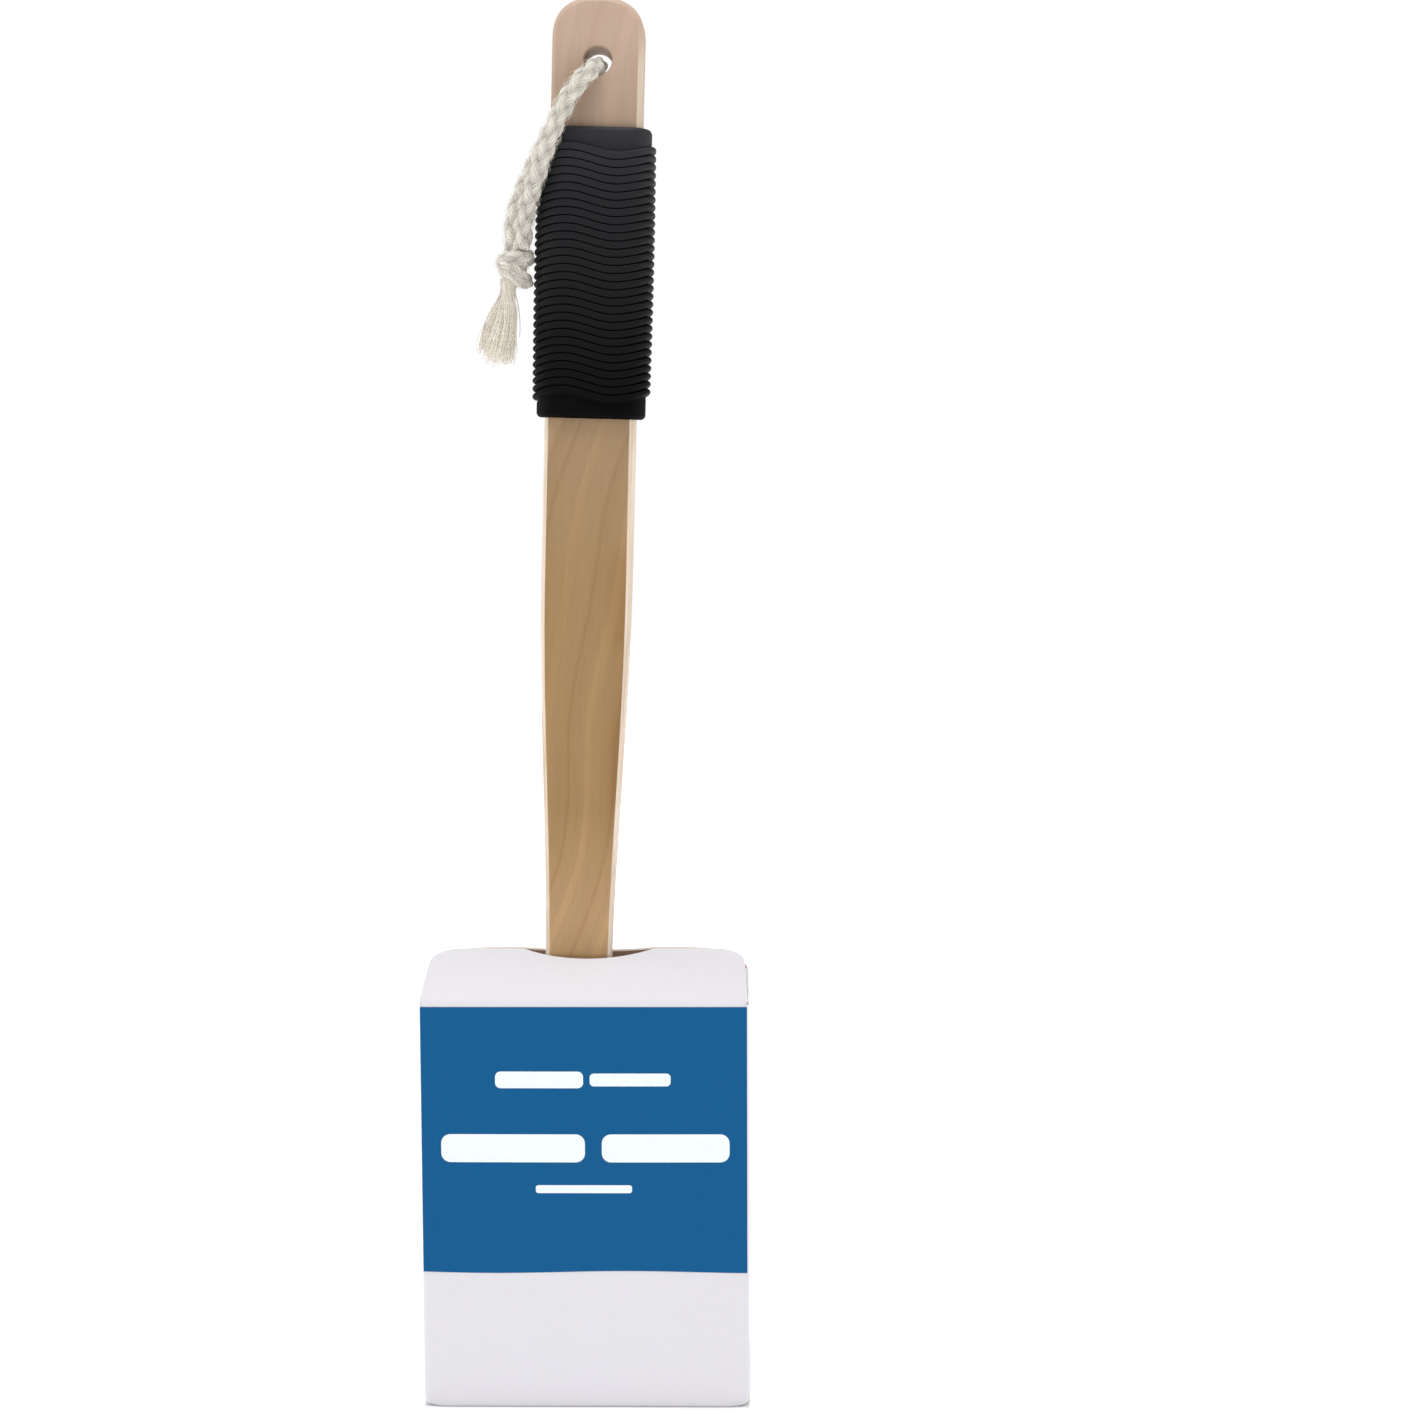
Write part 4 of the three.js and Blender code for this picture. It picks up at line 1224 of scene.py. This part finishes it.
def add_label_bars():
    verts, faces = [], []
    for left, right, middle, thick in LABEL_BARS:
        radius = thick * 0.32
        columns = [left + radius * (1 - math.cos(math.radians(angle))) for angle in range(0, 90, 15)]
        columns += list(np.linspace(left + radius, right - radius, 30))
        columns += [right - radius * (1 - math.cos(math.radians(angle))) for angle in range(75, -1, -15)]
        start = len(verts)
        for share in np.linspace(-1, 1, 6):
            for x in columns:
                over = max(left + radius - x, x - (right - radius), 0)
                half = thick / 2 - radius + math.sqrt(max(radius ** 2 - over ** 2, 0))
                z = middle + share * half
                verts.append((x, carton_low[1] - front_bow(x, z) - PRINT_FACE, z))
        faces += grid_faces(6, len(columns), start=start)
    bars = add_mesh("label_bars", verts, faces, label_white)
    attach(bars, "carton")


def flap_mesh(name, size, length, notch, matrix, camber, columns=150, rows=26):
    """A board flap drawn with its crease on the X axis. notch is (half width, depth) or None."""
    half_root, half_edge, corner = size
    shares = np.sin(np.linspace(-math.pi / 2, math.pi / 2, columns))
    shares = 0.5 * shares + 0.5 * np.linspace(-1, 1, columns)
    reach = []
    for share in shares:
        u = abs(share) * half_edge
        top = length
        over = u - (half_edge - corner)
        if over > 0:
            top -= corner - math.sqrt(max(corner ** 2 - over ** 2, 0))
        if notch:
            radius = (notch[0] ** 2 + notch[1] ** 2) / (2 * notch[1])
            if u < notch[0]:
                top -= notch[1] - (radius - math.sqrt(radius ** 2 - u ** 2))
        reach.append(top)
    verts = []
    for side in (1, -1):
        for row in range(rows):
            t = row / (rows - 1)
            for share, top in zip(shares, reach):
                v = 0.05 + (top - 0.05) * t
                half = half_root + (half_edge - half_root) * min(v / (length - corner), 1)
                bend = camber * math.sin(math.pi * min(v / length, 1))
                verts.append((share * half, v, side * FLAP_THICKNESS / 2 + bend))
    # the cut edge runs round from one end of the crease to the other
    sides = sheet_faces(rows, columns, grid_border(rows, columns)[columns - 1:] + [0])
    faces = sum(sides, [])
    slots = [slot for slot, side in enumerate(sides) for _ in side]
    # the crease is a round bead of board
    start = len(verts)
    steps = 12
    for x in np.linspace(-half_root, half_root, 40):
        for step in range(steps):
            angle = step / steps * 2 * math.pi
            verts.append((x, FLAP_THICKNESS / 2 * math.cos(angle), FLAP_THICKNESS / 2 * math.sin(angle)))
    roll = grid_faces(40, steps, wrap_columns=True, start=start, flip=True)
    faces += roll
    slots += [0] * len(roll)
    flap = add_mesh(name, verts, faces, (BOARD_SET, slots), matrix)
    keep_edges_sharp(flap, 60)
    return flap


ROOF_SLOPE = math.radians(20.5)
# The arc cut out round the handle: half its width, and its depth.
ROOF_NOTCH = (20.5, 6.5)
ROOF_CAMBER = 0.35
# Half of a flap's width at the crease and at its free edge, and its corners' radius.
ROOF_SIZES = {"front_roof": (50.2, 49.4, 9.0), "rear_roof": (47.6, 44.0, 14.0)}
DUST_SIZE = (27.0, 14.0, 4.0)
DUST_LENGTH = 26.0
# The roof flaps stop this far before the middle.
ROOF_GAP = 0.6


def add_flaps():
    for name, node, joint, body, turn in (
            ("front_roof", "front_roof_flap", "front_flap_fold", "front_flap", 0),
            ("rear_roof", "rear_roof_flap", "rear_flap_fold", "rear_flap", math.pi),
            ("left_dust", "left_dust_flap", "left_flap_fold", "left_flap", -math.pi / 2),
            ("right_dust", "right_dust_flap", "right_flap_fold", "right_flap", math.pi / 2)):
        crease = Vector(joints[joint]["pos_m"])
        matrix = Matrix.Translation(crease) @ Matrix.Rotation(turn, 4, "Z")
        if name in ROOF_SIZES:
            matrix = matrix @ Matrix.Rotation(ROOF_SLOPE, 4, "X")
            length = (abs(crease.y) / MM - ROOF_GAP) / math.cos(ROOF_SLOPE)
            flap = flap_mesh(name, ROOF_SIZES[name], length, ROOF_NOTCH, matrix, ROOF_CAMBER)
        else:
            flap = flap_mesh(name, DUST_SIZE, DUST_LENGTH, None, matrix, 0.0, columns=60, rows=18)
        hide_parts(node)
        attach(flap, body)


BOTTOM_INSET = 2.6
BOTTOM_CORNER = 4.0


def add_bottom():
    """The outer bottom flap, with its corners worn round like the walls above it."""
    low, high = (np.array(corner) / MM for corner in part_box("bottom_outer_flap"))
    middle = (low + high) / 2
    count = 160
    points = section_loop(HALF_WIDTH - BOTTOM_INSET, (high[1] - low[1]) / 2, BOTTOM_CORNER, count)[0]
    verts = []
    for z, inset in ((high[2], 0.0), (low[2] + 0.25, 0.0), (low[2] + 0.08, 0.2), (low[2], 0.6)):
        scale = 1 - inset / 50
        verts += [(px * scale, py * scale + middle[1], z) for px, py in points]
    bottom = add_mesh("carton_bottom", verts, tube_faces(4, count, flip=True), board)
    keep_edges_sharp(bottom, 50)
    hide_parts("bottom_outer_flap")
    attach(bottom, "carton")


add_sleeve()
add_label()
add_flaps()
add_bottom()
for node in ("bottom_inner_flap", "bottom_left_dust_flap", "bottom_right_dust_flap", "glue_tab"):
    finish_node(node, kraft)


# --- Floor and light ---

def add_floor():
    n = Nodes("floor", 0.7)
    cloud = n.noise(n.place(), 3, detail=2)
    n.set(Base_Color=n.ramp(cloud, [(0.4, 0.90), (0.6, 0.92)]), Specular_IOR_Level=0.1)
    # the sweep glows, strongly away from the product and not at all under it; the dip in its glow round the
    # carton's foot is a painted contact shadow
    parts = n.add("ShaderNodeSeparateXYZ", {"Vector": n.place()}).outputs
    past_x = n.math("SUBTRACT", n.math("ABSOLUTE", parts["X"]), carton_high[0] * MM)
    past_x = n.math("MULTIPLY", past_x, 8.0)
    past_y = n.math("SUBTRACT", n.math("ABSOLUTE", parts["Y"]), carton_high[1] * MM)
    gap = n.math("MULTIPLY", n.math("MAXIMUM", past_x, past_y), 20.0, clamp=True)
    # painted shadow: the glow falls away within a few millimetres of the carton's foot
    near = n.ramp(gap, [(0.0, 0.0), (0.02, 0.12), (0.08, 0.36), (0.30, 0.45),
                        (1.0, 0.47)])
    away = n.add("ShaderNodeVectorMath", {0: n.place()}, operation="LENGTH").outputs["Value"]
    far = n.ramp(away, [(0.25, 0.0), (0.9, 0.43)])
    n.set(Emission_Color=(1, 1, 1, 1), Emission_Strength=n.math("ADD", near, far))
    size = 3000.0
    corners = [(-size, -size, 0), (size, -size, 0), (size, size, 0), (-size, size, 0)]
    floor = add_mesh("floor", corners, [(0, 1, 2, 3)], n.material)


def add_area(name, place, target, size, power, colour=(1, 1, 1)):
    light = bpy.data.lights.new(name, "AREA")
    light.shape = "RECTANGLE"
    light.size, light.size_y = size
    light.energy = power
    light.color = colour
    lamp = bpy.data.objects.new(name, light)
    bpy.context.scene.collection.objects.link(lamp)
    lamp.matrix_world = Matrix.Translation(place) @ (
        Vector(target) - Vector(place)).to_track_quat("-Z", "Y").to_matrix().to_4x4()


def add_world():
    world = bpy.data.worlds.new("studio")
    world.use_nodes = True
    nodes, links = world.node_tree.nodes, world.node_tree.links
    # the backdrop is plain white, and lights the object more softly than it looks
    background, seen = nodes["Background"], nodes.new("ShaderNodeBackground")
    for shade, strength in ((background, 0.45), (seen, 1.0)):
        shade.inputs["Color"].default_value = (1, 1, 1, 1)
        shade.inputs["Strength"].default_value = strength
    path = nodes.new("ShaderNodeLightPath")
    mix = nodes.new("ShaderNodeMixShader")
    links.new(path.outputs["Is Camera Ray"], mix.inputs[0])
    links.new(background.outputs[0], mix.inputs[1])
    links.new(seen.outputs[0], mix.inputs[2])
    links.new(mix.outputs[0], nodes["World Output"].inputs[0])
    bpy.context.scene.world = world
    bpy.context.scene.view_settings.view_transform = "Standard"


add_floor()
add_world()
add_area("key", (-0.5, -1.3, 1.2), (0, 0, 0.2), (0.9, 0.9), 2.05)
add_area("left_rim", (-0.75, 0.12, 0.35), (0, 0, 0.25), (0.4, 1.2), 2.4)
add_area("right_rim", (0.75, 0.12, 0.35), (0, 0, 0.25), (0.4, 1.2), 1.7, (1.0, 0.97, 0.94))
add_area("overhead", (0, -0.25, 1.4), (0, 0, 0.14), (0.7, 0.7), 10.2)
